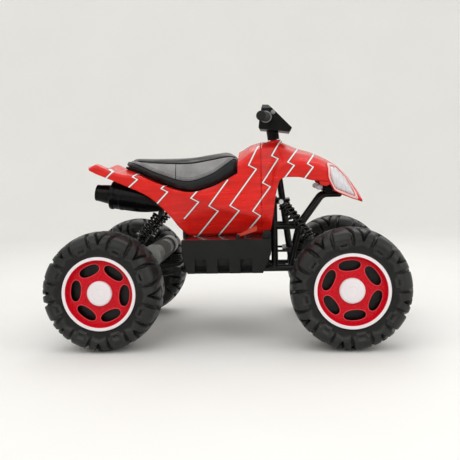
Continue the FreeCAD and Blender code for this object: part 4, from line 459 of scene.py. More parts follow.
@contextmanager
def edited(mesh):
    """A mesh opened for editing, and written back at the end."""
    work = bmesh.new()
    work.from_mesh(mesh)
    yield work
    work.to_mesh(mesh)
    work.free()


def linked(name, data):
    made = bpy.data.objects.new(name, data)
    bpy.context.scene.collection.objects.link(made)
    return made


def evaluated(made):
    return made.evaluated_get(bpy.context.evaluated_depsgraph_get())


def soften(mesh, crisp):
    mesh.polygons.foreach_set("use_smooth", [True] * len(mesh.polygons))
    mesh.set_sharp_from_angle(angle=math.radians(crisp))
    mesh.update()


def mesh_of(name, points, faces, crisp):
    """A mesh in metres from points in millimetres, smooth except where it turns sharply."""
    mesh = bpy.data.meshes.new(name)
    mesh.from_pydata([(x * MM, y * MM, z * MM) for x, y, z in points], [], faces)
    with edited(mesh) as work:
        bmesh.ops.remove_doubles(work, verts=work.verts, dist=1e-6)
        bmesh.ops.recalc_face_normals(work, faces=work.faces)
    soften(mesh, crisp)
    return mesh


def turned(profile, segments):
    """Points and faces of a closed outline (radius, place) turned about Y."""
    points = []
    for across, up in circle(1, segments):
        points += [(r * across, a, r * up) for r, a in profile]
    return points, grid_faces(segments, len(profile), True, True)


def lathe(name):
    """A profile with its corners rounded, turned about Y."""
    corners, fillets, steps, segments = PROFILES[name]
    run = rounded([(r, a, 0) for r, a in corners], fillets, steps)
    if corners[0] == corners[-1]:
        run.pop()
    return turned([(p.x, p.y) for p in run], segments)


def tube(path, radius, sides, closed=False):
    """Points and faces of a round tube along a path."""
    path = [Vector(p) for p in path]
    count = len(path)
    points = []
    side = None
    for i, here in enumerate(path):
        before = path[(i - 1) % count] if closed or i else here
        after = path[(i + 1) % count] if closed or i < count - 1 else here
        way = (after - before).normalized()
        if side is None:
            side = way.orthogonal().normalized()
        side = (side - way * side.dot(way)).normalized()
        other = way.cross(side)
        points += [here + side * up + other * across for across, up in circle(radius, sides)]
    return points, grid_faces(count, sides, closed, True, () if closed else (0, -1))


def plate(outlines, thickness, edge):
    """Points and faces of a flat plate with holes and rounded edges, lying in XY and centred on it."""
    curve = bpy.data.curves.new("plate", "CURVE")
    curve.dimensions = "2D"
    curve.fill_mode = "BOTH"
    curve.extrude = thickness / 2 - edge
    curve.bevel_depth = edge
    curve.bevel_resolution = 2
    curve.offset = -edge
    for outline in outlines:
        spline = curve.splines.new("POLY")
        spline.points.add(len(outline) - 1)
        for point, place in zip(spline.points, outline):
            point.co = (place[0], place[1], 0, 1)
        spline.use_cyclic_u = True
    made = linked("plate", curve)
    solid = evaluated(made).to_mesh()
    points = [v.co.copy() for v in solid.vertices]
    faces = [tuple(p.vertices) for p in solid.polygons]
    bpy.data.objects.remove(made)
    bpy.data.curves.remove(curve)
    return points, faces


def facing(part, level):
    """A part drawn in XY, stood up so that it faces outward along Y at a level."""
    return [(x, level + z, y) for x, y, z in part[0]], part[1]


def joined(*parts):
    """Several lots of points and faces as one."""
    points, faces = [], []
    for some_points, some_faces in parts:
        first = len(points)
        points += list(some_points)
        faces += [tuple(first + k for k in face) for face in some_faces]
    return points, faces


def moved(part, matrix):
    return [matrix @ Vector(p) for p in part[0]], part[1]


def flipped(part):
    """The mirror image on the other side of the bike."""
    return [(p[0], -p[1], p[2]) for p in part[0]], part[1]


def both_sides(part):
    return joined(part, flipped(part))


def along(start, end):
    """A matrix that carries Y onto the line from one point to another."""
    way = Vector(end) - Vector(start)
    return Matrix.Translation(Vector(start)) @ way.to_track_quat("Y", "Z").to_matrix().to_4x4()


def placed(profile, start, end):
    """A turned profile laid on the line from one point to another."""
    return moved(lathe(profile), along(start, end))


def piece(name, mesh, look, body, slot, *nodes):
    """A piece of the bike: a mesh with its finish, moving with a body and standing for CAD nodes."""
    made = linked(name, mesh)
    if look.name not in mesh.materials:
        mesh.materials.append(look)
    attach(made, body)
    if nodes:
        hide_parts(*nodes)
    return made


def make(name, part, crisp, look, slot, *nodes, body="chassis"):
    """A piece of the bike from points and faces."""
    return piece(name, mesh_of(name, *part, crisp), look, body, slot, *nodes)


def bevelled_copy(node, width, segments, crisp=30):
    """The CAD node's own form with its flat faces made whole and its edges rounded."""
    mesh = NODES[node].data.copy()
    mesh.name = f"{node}_softened"
    mesh.materials.clear()
    turn = math.radians(crisp)
    with edited(mesh) as work:
        bmesh.ops.remove_doubles(work, verts=work.verts, dist=1e-5)
        bmesh.ops.dissolve_limit(
            work, angle_limit=math.radians(2), verts=work.verts, edges=work.edges,
            use_dissolve_boundaries=False,
        )
        edges = [e for e in work.edges if len(e.link_faces) == 2 and e.calc_face_angle(0) > turn]
        bmesh.ops.bevel(
            work, geom=edges, offset=width * MM, segments=segments, profile=0.6, affect="EDGES",
            clamp_overlap=True,
        )
    soften(mesh, 35)
    return mesh


# Finishes


def shaded(colour, share=1.0):
    return (*[min(max(c * share, 0), 1) for c in colour], 1)


class Look:
    """A material built up node by node."""

    def __init__(self, name, **sockets):
        self.material = bpy.data.materials.new(name)
        self.material.use_nodes = True
        self.tree = self.material.node_tree
        self.shader = self.tree.nodes["Principled BSDF"]
        for key, value in sockets.items():
            self.shader.inputs[key.replace("_", " ").title().replace("Ior", "IOR")].default_value = value
        self.where = self.node("TexCoord").outputs["Object"]

    def node(self, kind, inputs=None, **settings):
        """A shader node; inputs are linked where a socket is given and set where a value is."""
        made = self.tree.nodes.new(f"ShaderNode{kind}")
        for key, value in settings.items():
            setattr(made, key, value)
        for key, value in (inputs or {}).items():
            if isinstance(value, bpy.types.NodeSocket):
                self.tree.links.new(value, made.inputs[key])
            else:
                made.inputs[key].default_value = value
        return made

    def noise(self, scale, detail, where=None, **inputs):
        place = self.where if where is None else where
        values = {"Vector": place, "Scale": scale, "Detail": detail, **inputs}
        return self.node("TexNoise", values).outputs["Fac"]

    def attribute(self, name):
        return self.node("Attribute", attribute_name=name).outputs["Fac"]

    def ramp(self, value, stops):
        """A colour that goes from stop to stop, each a place and a colour, as a value rises."""
        made = self.node("ValToRGB", {"Fac": value})
        bar = made.color_ramp.elements
        for stop, (place, colour) in zip(bar, (stops[0], stops[-1])):
            stop.position = place
            stop.color = colour
        for place, colour in stops[1:-1]:
            bar.new(place).color = colour
        return made.outputs["Color"]

    def spread(self, value, low, high, start=0.0, end=1.0):
        """A value that goes from low to high as another goes from start to end."""
        inputs = {"Value": value, "From Min": start, "From Max": end, "To Min": low, "To Max": high}
        return self.node("MapRange", inputs).outputs["Result"]

    def mix(self, share, below, above, **settings):
        return self.node("Mix", {0: share, 6: below, 7: above}, data_type="RGBA", **settings).outputs[2]

    def maths(self, operation, first, second):
        return self.node("Math", {0: first, 1: second}, operation=operation).outputs[0]

    def vectors(self, operation, out, first, second):
        key = "Scale" if operation == "SCALE" else 1
        return self.node("VectorMath", {0: first, key: second}, operation=operation).outputs[out]

    def finished(self, colour, roughness, height, strength, depth):
        """Joins colour, roughness and a bump from a height to the shader, and hands the material out."""
        bump = self.node("Bump", {"Height": height, "Strength": strength, "Distance": depth})
        ends = {"Base Color": colour, "Roughness": roughness, "Normal": bump.outputs["Normal"]}
        for key, socket in ends.items():
            if socket is not None:
                self.tree.links.new(socket, self.shader.inputs[key])
        return self.material


def moulded(
    name, colour, roughness, tone, tone_scale, grain, grain_scale, specular, sockets=None, painted_light_mark=None
):
    """A moulded, painted or worn surface: tone and gloss vary softly, and a fine grain breaks the light.

    The last argument names a mesh attribute that is 0 in hollows, which are painted dark as shade, and 1 on
    tops, with the edges between painted pale as highlights.
    """
    look = Look(name, specular_ior_level=specular, **(sockets or {}))
    shade = look.ramp(
        look.noise(tone_scale, 4.0), [(0.3, shaded(colour, 1 - tone)), (0.7, shaded(colour, 1 + tone))]
    )
    wear = 0.08
    if painted_light_mark:
        wear = 0.1
        # Painted light: hollows painted dark as shade, edges painted pale as highlight, tops in between.
        stops = [(0.0, (0.10, 0.10, 0.10, 1)), (0.78, (1, 1, 1, 1)), (1.0, (0.56, 0.56, 0.56, 1))]
        shade = look.mix(1.0, shade, look.ramp(look.attribute(painted_light_mark), stops), blend_type="MULTIPLY")
    smear = look.noise(tone_scale * 2.3, 6.0)
    gloss = look.spread(smear, max(roughness - wear, 0.02), min(roughness + wear, 1))
    return look.finished(shade, gloss, look.noise(grain_scale, 3.0), grain, GRAIN_DEPTH)


def leather(name, colour, zones=(), sheen=0.1):
    """Upholstery vinyl: a pebbled grain of small cells over soft creases.

    Each zone is a mesh attribute, a colour, and the two values between which that colour takes over.
    """
    if name in bpy.data.materials:
        return bpy.data.materials[name]
    look = Look(name, specular_ior_level=0.25, sheen_weight=sheen, sheen_roughness=0.45)
    cloud = look.noise(22.0, 5.0)

    def tinted(base):
        return look.ramp(cloud, [(0.32, shaded(base, 0.8)), (0.72, shaded(base, 1.25))])

    shade = tinted(colour)
    for mark, base, start, end in zones:
        share = look.spread(look.attribute(mark), 0.0, 1.0, start, end)
        shade = look.mix(share, shade, tinted(base))
    cells = look.node("TexVoronoi", {"Vector": look.where, "Scale": 620.0}, feature="F1")
    height = look.maths("ADD", cells.outputs["Distance"], look.noise(70.0, 4.0))
    return look.finished(shade, look.spread(cloud, 0.35, 0.52), height, 0.28, 0.0012)


def slash_gap(look, spot, start, end, width):
    """How far a point of the side view lies outside a painted line, in metres."""
    a, b = [Vector((x * MM, 0, z * MM)) for x, z in (start, end)]
    d = b - a
    from_a = look.vectors("SUBTRACT", "Vector", spot, a)
    share = look.vectors("DOT_PRODUCT", "Value", from_a, d / d.length_squared)
    held = look.node("Clamp", {"Value": share}).outputs["Result"]
    foot = look.vectors("SCALE", "Vector", d, held)
    gap = look.vectors("DISTANCE", "Value", from_a, foot)
    return look.maths("SUBTRACT", gap, width * MM)


def shell_paint(colours, sizes):
    """Glossy red shells: brushed tone along the slant, with white slashes that have a thin dark edge."""
    look = Look("shell_paint", specular_ior_level=0.2, coat_weight=0.2, coat_roughness=0.06)
    slant = {"Vector": look.where, "Rotation": (0, math.radians(-52), 0), "Scale": (4, 9, 26)}
    brush = look.noise(1.6, 7.0, look.node("Mapping", slant).outputs["Vector"], Roughness=0.62)
    red = look.ramp(brush, [(0.30, shaded(colours.body_red, 0.7)), (0.68, shaded(colours.body_red, 1.08))])
    flat = look.vectors("MULTIPLY", "Vector", look.where, (1, 0, 1))
    nearest = None
    for line in SLASHES:
        for k, (start, end) in enumerate(zip(line, line[1:])):
            width = sizes.slash_width / MM / 2 * (0.7 if k % 2 else 1)
            gap = slash_gap(look, flat, start, end, width)
            nearest = gap if nearest is None else look.maths("MINIMUM", nearest, gap)
    edge = look.spread(nearest, 1, 0, 0.0008, 0.0022)
    line = look.spread(nearest, 1, 0, -0.0004, 0.0004)
    dark = look.mix(edge, red, shaded(colours.body_red, 0.25))
    white = look.mix(line, dark, shaded(colours.slash_white))
    return look.finished(white, look.spread(brush, 0.18, 0.34), look.noise(14.0, 2.0), 0.12, 0.004)


def clear_lens(colours):
    """Clear moulded plastic of the headlights, faintly fluted."""
    look = Look(
        "lamp_lens", base_color=shaded(colours.lens), transmission_weight=0.42, ior=1.45, roughness=0.06,
        coat_weight=0.5,
    )
    wave = {"Vector": look.where, "Scale": 24.0, "Distortion": 0.0}
    flutes = look.node("TexWave", wave, bands_direction="X").outputs["Fac"]
    return look.finished(None, None, flutes, 0.5, 0.003)


def looks_of(scene):
    """Every finish of the bike apart from the seat's by name, each made the first time it is asked for."""
    colours, made = scene.quad_colours, bpy.data.materials
    looks = {}
    for name, (colour, *values) in FINISHES.items():
        title = f"{name}_finish"
        shade = getattr(colours, colour) if isinstance(colour, str) else colour
        looks[name] = made.get(title) or moulded(title, shade, *values)
    looks["shell_paint"] = made.get("shell_paint") or shell_paint(colours, scene.quad_sizes)
    looks["lamp_lens"] = made.get("lamp_lens") or clear_lens(colours)
    return looks


# Properties


def colour_choice(name, description, default):
    return FloatVectorProperty(
        name=name, description=description, subtype="COLOR", size=3, min=0.0, max=1.0, default=default
    )


def measure(name, description, default, unit="LENGTH"):
    return FloatProperty(name=name, description=description, default=default, unit=unit)


class QuadColours(PropertyGroup):
    body_red: colour_choice("Body red", "Base colour of the shells", (0.72, 0.012, 0.007))
    slash_white: colour_choice("Slash white", "Painted slashes on the shells", (0.82, 0.80, 0.80))
    rim_red: colour_choice("Rim red", "Moulded wheel rims", (0.56, 0.002, 0.012))
    # Lips round the rim windows: the rim red painted lighter, as a highlight along the lips.
    rim_edge: colour_choice("Rim edge", "Lips round the rim windows", (0.68, 0.045, 0.06))
    trim_white: colour_choice("Trim white", "Wheel rings and hub caps", (0.78, 0.73, 0.75))
    # The palest tyre tone, on the lug edges as a painted highlight; the tyre finish paints the rest darker,
    # the hollows as shade.
    rubber: colour_choice("Rubber", "Edges of the tread, the palest of the tyres", (0.024, 0.024, 0.023))
    frame: colour_choice("Frame", "Steel tube frame and arms", (0.004, 0.004, 0.004))
    charcoal: colour_choice("Charcoal", "Footboards and tub", (0.009, 0.009, 0.009))
    plastic: colour_choice("Plastic", "Handlebar cover and column", (0.003, 0.003, 0.003))
    gloss: colour_choice("Gloss black", "Exhaust mufflers", (0.003, 0.003, 0.003))
    # Seat side panels: a grey far paler than the top, a painted sheen where light falls on the sloping
    # sides.
    leather: colour_choice("Seat sides", "Upholstery of the seat's side panels", (0.240, 0.234, 0.236))
    seat_top: colour_choice("Seat top", "Upholstery of the seat's top", (0.054, 0.052, 0.050))
    band: colour_choice("Seat band", "Lower band of the seat", (0.007, 0.008, 0.009))
    lamp_frame: colour_choice("Lamp frame", "Rim round each headlight", (0.76, 0.50, 0.49))
    lens: colour_choice("Lens", "Headlight lenses", (0.95, 0.94, 0.97))
    pedal: colour_choice("Pedal", "Accelerator pedal", (0.50, 0.040, 0.020))
    motor: colour_choice("Motors", "Gear motors at the rear axle", (0.19, 0.19, 0.18))


class QuadSizes(PropertyGroup):
    tread_repeats: IntProperty(
        name="Tread repeats", description="Repeats of the tread round a tyre", default=8, min=4
    )
    groove_flank: measure("Groove flank", "Width of a groove's sloping flank", 0.0046)
    window_lip: measure("Window lip", "Thickness of the lip round a rim window", 0.0013)
    slash_width: measure("Slash width", "Width of the painted slashes", 0.0040)
    seat_swell: measure("Seat swell", "Most that the padding pushes the cover out", 0.006)
    seam_depth: measure("Seam depth", "Depth of the seat's seams", 0.0032)


class QuadStage(PropertyGroup):
    floor: colour_choice("Floor", "Floor and backdrop", (0.88, 0.87, 0.85))
    key_power: measure("Key light", "Power of the large light", 30.0, "POWER")
    fill_power: measure("Fill light", "Power of the side and back lights", 14.0, "POWER")
    lens: measure("Lens", "Focal length of the camera", 53.3, "CAMERA")


# Wheels


def stand_wheel(made, place, turn):
    """Turns a wheel piece's own mesh on the axle by some degrees and stands it at its place."""
    x, y = WHEEL_PLACES[place][:2]
    side = Matrix.Rotation(0 if y > 0 else math.pi, 4, "Z")
    spin = Matrix.Rotation(math.radians(-turn if y > 0 else turn), 4, "Y")
    made.data = made.data.copy()
    made.data.transform(side @ spin)
    made.matrix_world = Matrix.Translation(Vector((x, y, WHEEL_RADIUS)) * MM)


def arc_through(start, middle, end, count):
    """Points of the arc through three points, apart from its end."""
    (ax, ay), (bx, by), (cx, cy) = start, middle, end
    d = 2 * (ax * (by - cy) + bx * (cy - ay) + cx * (ay - by))
    a2, b2, c2 = ax * ax + ay * ay, bx * bx + by * by, cx * cx + cy * cy
    ox = (a2 * (by - cy) + b2 * (cy - ay) + c2 * (ay - by)) / d
    oy = (a2 * (cx - bx) + b2 * (ax - cx) + c2 * (bx - ax)) / d
    radius = math.hypot(ax - ox, ay - oy)
    first = math.atan2(ay - oy, ax - ox)
    turn = (math.atan2(cy - oy, cx - ox) - first + math.pi) % math.tau - math.pi
    angles = [first + turn * k / count for k in range(count)]
    return [(ox + radius * math.cos(a), oy + radius * math.sin(a)) for a in angles]


def tyre_edge(sink, side_sink):
    """Half of the tyre's outer edge from bead to middle, as radius and place."""
    crown = WHEEL_RADIUS - sink
    edge = crown - TREAD_DROP
    tread = TREAD_HALF - sink / 2
    side = HALF_TYRE - side_sink
    low = SIDEWALL_RADIUS - side_sink
    bulge = (low + (edge - low) * 0.66, tread + (side - tread) * 0.66)
    foot = BEAD_LEVEL + 0.8 - side_sink * 0.5
    wall = [(BEAD_RADIUS, BEAD_LEVEL)]
    for k in range(10):
        wall.append((WALL_FOOT + (low - WALL_FOOT) * k / 10, foot + (side - foot) * k / 10))
    shoulder = arc_through((low, side), bulge, (edge, tread), 20)
    tread_run = arc_through((edge, tread), (crown, 0), (edge, -tread), 40)[:21]
    return wall + shoulder + tread_run


def tread_cover(u, out, pitch, ramp):
    """How far the rubber stands up, from 0 to 1, round a repeat at one distance from the middle."""
    ends = np.array(RUBBER_ENDS)
    room = np.interp(u, ends[:, 0], ends[:, 1]) - out
    for run, width in GROOVES:
        for (x0, y0), (x1, y1) in zip(run, run[1:]):
            dx, dy = (x1 - x0) * pitch, y1 - y0
            for shift in (-1, 0, 1):
                px, py = (u + shift - x0) * pitch, out - y0
                t = np.clip((px * dx + py * dy) / (dx * dx + dy * dy), 0, 1)
                room = np.minimum(room, np.hypot(px - t * dx, py - t * dy) - width / 2)
    t = np.clip(room / ramp + 0.5, 0, 1)
    return t * t * (3 - 2 * t)


def tyre_mesh(sizes):
    """One moulded tyre with its tread, its hollow back and its hub."""
    half = [(b, t, 1) for b, t in zip(tyre_edge(LUG_HEIGHT, LUG_SIDE), tyre_edge(0, 0))]
    run = half + [((r, -a), (s, -c), -1) for (r, a), (s, c), _ in reversed(half[:-1])]
    reach = [0.0]
    for (_, p, _), (_, q, _) in zip(run, run[1:]):
        reach.append(reach[-1] + math.hypot(q[0] - p[0], q[1] - p[1]))
    middle = reach[len(half) - 1]
    columns = sizes.tread_repeats * TREAD_COLUMNS
    pitch = math.tau * WHEEL_RADIUS / sizes.tread_repeats
    turn = np.arange(columns) / TREAD_COLUMNS
    angle = turn / sizes.tread_repeats * math.tau
    sine, cosine = np.sin(angle), np.cos(angle)
    rows, covers = [], []
    for (b, t, side), place in zip(run, reach):
        u = (turn if side > 0 else turn + 0.5) % 1
        cover = tread_cover(u, abs(place - middle), pitch, sizes.groove_flank / MM)
        radius = b[0] + (t[0] - b[0]) * cover
        across = b[1] + (t[1] - b[1]) * cover
        rows.append(np.stack([radius * sine, across, radius * cosine], axis=1))
        covers.append(cover)
    for r, a in TYRE_INSIDE:
        rows.append(np.stack([r * sine, np.full(columns, float(a)), r * cosine], axis=1))
        covers.append(np.zeros(columns))
    points = np.concatenate(rows).tolist()
    mesh = mesh_of("tyre", points, grid_faces(len(rows), columns, True, True), 34)
    # How far the rubber stands up; the tyre finish paints shade in the hollows and highlights on the edges
    # from it.
    mark = mesh.attributes.new(TREAD_MARK, "FLOAT", "POINT")
    mark.data.foreach_set("value", np.concatenate(covers))
    return mesh


class QUAD_OT_tyres(Operator):
    """Moulded tyres with a grooved tread over crown and shoulders"""

    bl_idname = "quad.tyres"
    bl_label = "Tyres"

    def execute(self, context):
        rubber = looks_of(context.scene)["tyre_black"]
        mesh = tyre_mesh(context.scene.quad_sizes)
        for place, (_, _, _, turn) in WHEEL_PLACES.items():
            node = f"tyre_{place}"
            made = piece(f"moulded_{node}", mesh, rubber, f"wheel_{place}", "tyre_black", node)
            stand_wheel(made, place, turn)
        return {"FINISHED"}


def oval(length, height, count, power=2.3):
    """A plump oval round the origin."""
    points = []
    for s, c in circle(1, count):
        wide, tall = abs(c) ** (2 / power), abs(s) ** (2 / power)
        points.append((math.copysign(wide, c) * length / 2, math.copysign(tall, s) * height / 2))
    return points


def window_outlines(length, height):
    """The six windows of a rim in the plane of its face."""
    shapes = []
    for k in range(6):
        turn = Matrix.Rotation(-math.tau * k / 6, 3, "Z")
        shapes.append([turn @ Vector((x, y + WINDOW_CIRCLE, 0)) for x, y in oval(length, height, 40)])
    return shapes


def rim_part():
    """A rim: its face with windows and hub hole, its barrel and its bosses."""
    holes = [circle(DISC_HOLE, 48), *window_outlines(*WINDOW_SIZE)]
    disc = plate([circle(DISC_RADIUS, 96), *holes], DISC_THICK, DISC_EDGE)
    face = facing(disc, DISC_FACE - DISC_THICK / 2)
    boss = turned(BOSS_DOME, 20)
    spots = circle(BOSS_CIRCLE, 12)[1::2]
    bosses = [moved(boss, Matrix.Translation((x, DISC_FACE, z))) for x, z in spots]
    return joined(face, lathe("rim"), *bosses)


class QUAD_OT_rims(Operator):
    """Rims with oval windows, white rings and bare hub caps"""

    bl_idname = "quad.rims"
    bl_label = "Rims"

    def execute(self, context):
        looks = looks_of(context.scene)
        lip = context.scene.quad_sizes.window_lip / MM
        rounds = [tube(run, lip, 8, closed=True) for run in window_outlines(*LIP_SIZE)]
        lips_part = facing(joined(*rounds), DISC_FACE + lip * 0.2)
        kinds = {
            "rim": (mesh_of("rim", *rim_part(), 42), "rim_red"),
            "wheel_ring": (mesh_of("wheel_ring", *lathe("ring"), 50), "trim_white"),
            "hub_cap": (mesh_of("hub_cap", *lathe("hub_cap"), 50), "trim_white"),
        }
        edge = mesh_of("window_lips", *lips_part, 60)
        for place, (_, _, turn, _) in WHEEL_PLACES.items():
            body = f"wheel_{place}"
            for kind, (mesh, slot) in kinds.items():
                node = f"{kind}_{place}"
                stand_wheel(piece(f"moulded_{node}", mesh, looks[slot], body, slot, node), place, turn)
            # The lips take the rim red painted lighter, a painted highlight round each window.
            lips = piece(f"window_lips_{place}", edge, looks["rim_edge"], body, "rim_red")
            stand_wheel(lips, place, turn)
        return {"FINISHED"}


# Body shells and lamps


def half_section(row, half_width):
    """Half of a body section from its centre to its bottom edge, as (across, up)."""
    centre, shoulder_y, shoulder_z, crease_y, crease_z, bottom_y, bottom_z = row
    up = [SHELL_BASE + share * SHELL_RISE for share in (centre, shoulder_z, crease_z, bottom_z)]
    out = [share * half_width for share in (shoulder_y, crease_y, bottom_y)]
    top, shoulder = Vector((0, up[0], 0)), Vector((out[0], up[1], 0))
    crown = [top.lerp(shoulder, k / CROWN_STEPS) for k in range(CROWN_STEPS)]
    for k, point in enumerate(crown):
        point.y += SHELL_CROWN * math.sin(math.pi * k / CROWN_STEPS)
    corners = [crown[-1], shoulder, (out[1], up[2], 0), (out[2], up[3], 0)]
    run = rounded(corners, SHELL_FILLETS, 5)
    return [*crown[:-1], *spaced(run[:7], 6)[:-1], *spaced(run[6:], 18)]


def shell_points(rows, start, length, half_width, stations, floor=None):
    """A grid of points over a shell, from its near bottom edge over the top to the far one."""
    points = []
    for x in stations:
        level = floor(x) if floor else math.inf
        half = half_section(eased(rows, (x - start) / length), half_width)
        line = [(x, p.x, min(p.y, level)) for p in half]
        points += [(x, -y, z) for x, y, z in reversed(line[1:])] + line
    return points, len(points) // len(stations)


def saddle(x):
    """Height of the line that the seat rests on."""
    share = (x - SEAT_START) / SEAT_LENGTH
    return SEAT_LOW + SEAT_RISE * float(eased(SADDLE_SHARES, share)[0])


def seat_floor(x):
    inside = SEAT_START - 0.3 <= x <= SEAT_END + 0.3
    return saddle(x) - SEAT_FLOOR_DROP if inside else math.inf


def solid_wall(made, thickness, keep=None):
    """Gives a sheet its wall thickness inward, and drops the faces that keep() turns down."""
    if keep:
        with edited(made.data) as work:
            gone = [f for f in work.faces if not keep(f.calc_center_median() / MM)]
            bmesh.ops.delete(work, geom=gone, context="FACES")
    wall = made.modifiers.new("wall", "SOLIDIFY")
    wall.thickness = thickness * MM
    wall.offset = -1


class QUAD_OT_rear_shell(Operator):
    """Rear body shell with its tail and the hollow that the seat sits in"""

    bl_idname = "quad.rear_shell"
    bl_label = "Rear shell"

    def execute(self, context):
        looks = looks_of(context.scene)
        steps = np.linspace(REAR_START, REAR_START + REAR_LENGTH, 126)
        stations = sorted([*steps, SEAT_START - 0.4, SEAT_END + 0.2, SEAT_END + 0.5])
        points, columns = shell_points(
            REAR_SHARES, REAR_START, REAR_LENGTH, REAR_HALF, stations, seat_floor
        )
        shell = points, grid_faces(len(stations), columns, ends=[0])
        made = make("rear_shell", shell, 28, looks["shell_paint"], "body_red", "rear_body_shell")
        solid_wall(made, SHELL_WALL)
        caps = both_sides(placed("reflector", *REFLECTOR_AXIS))
        make("tail_reflectors", caps, 40, looks["lamp_white"], "lamp_white")
        return {"FINISHED"}


def lamp_ring(share, count=LAMP_COLUMNS):
    """The lamp's outline drawn in to a share about its middle, as points along the bike and up."""
    corners = [Vector((x, z, 0)) for x, z in LAMP_OUTLINE]
    middle = sum(corners, Vector()) / len(corners)
    wide = [middle + (c - middle) * share for c in corners]
    run = rounded([*wide, *wide[:2]], [LAMP_CORNER * share] * len(wide), 5)[1:-1]
    return spaced(run, count, closed=True)


def inside_lamp(point, share):
    ring = lamp_ring(share, 36)
    x, z = point.x, point.z
    inside = False
    for p, q in zip(ring, ring[1:] + ring[:1]):
        if (p.y > z) != (q.y > z) and x < p.x + (z - p.y) / (q.y - p.y) * (q.x - p.x):
            inside = not inside
    return inside


def on_surface(tree, place, sign, lift=0):
    """The point of the cowl seen from the side at a place, lifted off it along its normal."""
    for shift in range(80):
        drop = shift / 4 if shift % 2 else -shift / 4
        start = Vector((place.x - abs(drop) * 0.3, sign * FAR_OUT, place.y - drop))
        spot, normal, _, _ = tree.ray_cast(start, Vector((0, -sign, 0)))
        if spot is not None:
            return spot + normal * (lift if normal.y * sign >= 0 else -lift)
    raise RuntimeError(f"no cowl beside {place.x}, {place.y}")


def lamp_points(tree, sign, share, lift):
    """A ring of a headlight on the cowl, no further from the lens's edge than the frame is wide."""
    ring = lamp_ring(share)
    if share > LENS_SHARE:
        most = FRAME_WIDTH * (share - LENS_SHARE) / (1 - LENS_SHARE)
        for k, (edge, place) in enumerate(zip(lamp_ring(LENS_SHARE), ring)):
            foot = on_surface(tree, edge, sign)
            if (on_surface(tree, place, sign) - foot).length <= most:
                continue
            near, far = 0.0, 1.0
            for _ in range(14):
                half = (near + far) / 2
                if (on_surface(tree, edge.lerp(place, half), sign) - foot).length <= most:
                    near = half
                else:
                    far = half
            ring[k] = edge.lerp(place, near)
    return [on_surface(tree, place, sign, lift) for place in ring]


def lamp_skin(tree, rows, closed):
    """Both sides' skins over the rows of one part of the headlights."""
    skins = []
    for sign in SIDES.values():
        points = []
        for share, lift in rows:
            points += lamp_points(tree, sign, share, lift)
        skins.append((points, grid_faces(len(rows), LAMP_COLUMNS, False, True, [-1] if closed else ())))
    return joined(*skins)


class QUAD_OT_front_cowl(Operator):
    """Front cowl with leg shields, and the headlights let into its nose"""

    bl_idname = "quad.front_cowl"
    bl_label = "Front cowl and headlights"

    def execute(self, context):
        looks = looks_of(context.scene)
        paint = looks["shell_paint"]
        stations = np.linspace(COWL_START, COWL_START + COWL_LENGTH - NOSE_TRIM, 92)
        points, columns = shell_points(COWL_SHARES, COWL_START, COWL_LENGTH, COWL_HALF, stations)
        faces = grid_faces(len(stations), columns, ends=[-1])
        tree = BVHTree.FromPolygons([Vector(p) for p in points], faces)
        made = make("front_cowl_shell", (points, faces), 28, paint, "body_red", "front_cowl")

        def keep(spot):
            off = spot - COLUMN_TOP
            if (off - COLUMN_WAY * off.dot(COLUMN_WAY)).length < COLUMN_HOLE:
                return False
            return not (abs(spot.y) > 40 and inside_lamp(spot, LENS_SHARE))

        solid_wall(made, SHELL_WALL, keep)
        for kind, rows, closed, crisp, look, slot, wall, *nodes in (
            ("frames", LAMP_FRAME, False, 40, "lamp_white", "lamp_white", 1.2, "headlight_bezels"),
            ("covers", LAMP_LENS, True, 60, "lamp_lens", "lamp_clear", 1.5, "headlight_lenses"),
            ("bowls", LAMP_BOWL, True, 30, "mirror_bowl", "lamp_white", 1.0),
        ):
            skin = lamp_skin(tree, rows, closed)
            solid_wall(make(f"headlight_{kind}", skin, crisp, looks[look], slot, *nodes), wall)
        lines = []
        for sign in SIDES.values():
            for share, lift, radius in LAMP_EDGES:
                lines.append(tube(lamp_points(tree, sign, share, lift), radius, 8, closed=True))
        make("headlight_edges", joined(*lines), 60, paint, "body_red")
        round_end = [math.pi * k / 20 for k in range(21)]
        outline = [(TAB_WIDTH * math.cos(turn), -TAB_DROP * math.sin(turn)) for turn in round_end]
        outline = [(TAB_WIDTH, TAB_RISE), *outline, (-TAB_WIDTH, TAB_RISE)]
        tab = facing(plate([outline], TAB_THICK, TAB_EDGE), 0)
        make("cowl_tabs", both_sides(moved(tab, Matrix.Translation(TAB_PLACE))), 40, paint, "body_red")
        for name, look, slot in (
            ("lamp_holder", "black_plastic", "black_plastic"), ("lamp_bulb", "lamp_lens", "lamp_clear"),
        ):
            make(f"{name}s", both_sides(placed(name, *BULB_AXIS)), 40, looks[look], slot)
        return {"FINISHED"}


# Seat


def seat_row(x):
    """At a place along the seat: its share of the length, its foot, its top and its half width."""
    share = (x - SEAT_START) / SEAT_LENGTH
    top, width = eased(CUSHION_SHARES, share)
    return share, saddle(x), SEAT_LOW + top * SEAT_RISE, width * SEAT_HALF


def cushion_ring(x, count):
    """A closed section of the cushion at a place, starting at the middle of its foot."""
    _, low, top, width = seat_row(x)
    corners = [(width * out, low + (top - low) * up, 0) for out, up in CUSHION_CORNERS]
    half = spaced(rounded(corners, CUSHION_FILLETS, 5), count)
    points = [(x, p.x, p.y) for p in half]
    return points + [(x, -y, z) for x, y, z in reversed(points[1:-1])]


def cushion_mesh(inset):
    """The cushion drawn in by an inset, ready to be padded out."""
    rings = [cushion_ring(x, 26) for x in np.linspace(SEAT_START + 1.5, SEAT_END - 1, 70)]
    faces = grid_faces(len(rings), len(rings[0]), False, True, (0, -1))
    mesh = mesh_of("seat_pad", sum(rings, []), faces, 60)
    with edited(mesh) as work:
        work.normal_update()
        for v in work.verts:
            v.co -= v.normal * (inset * MM)
    return mesh


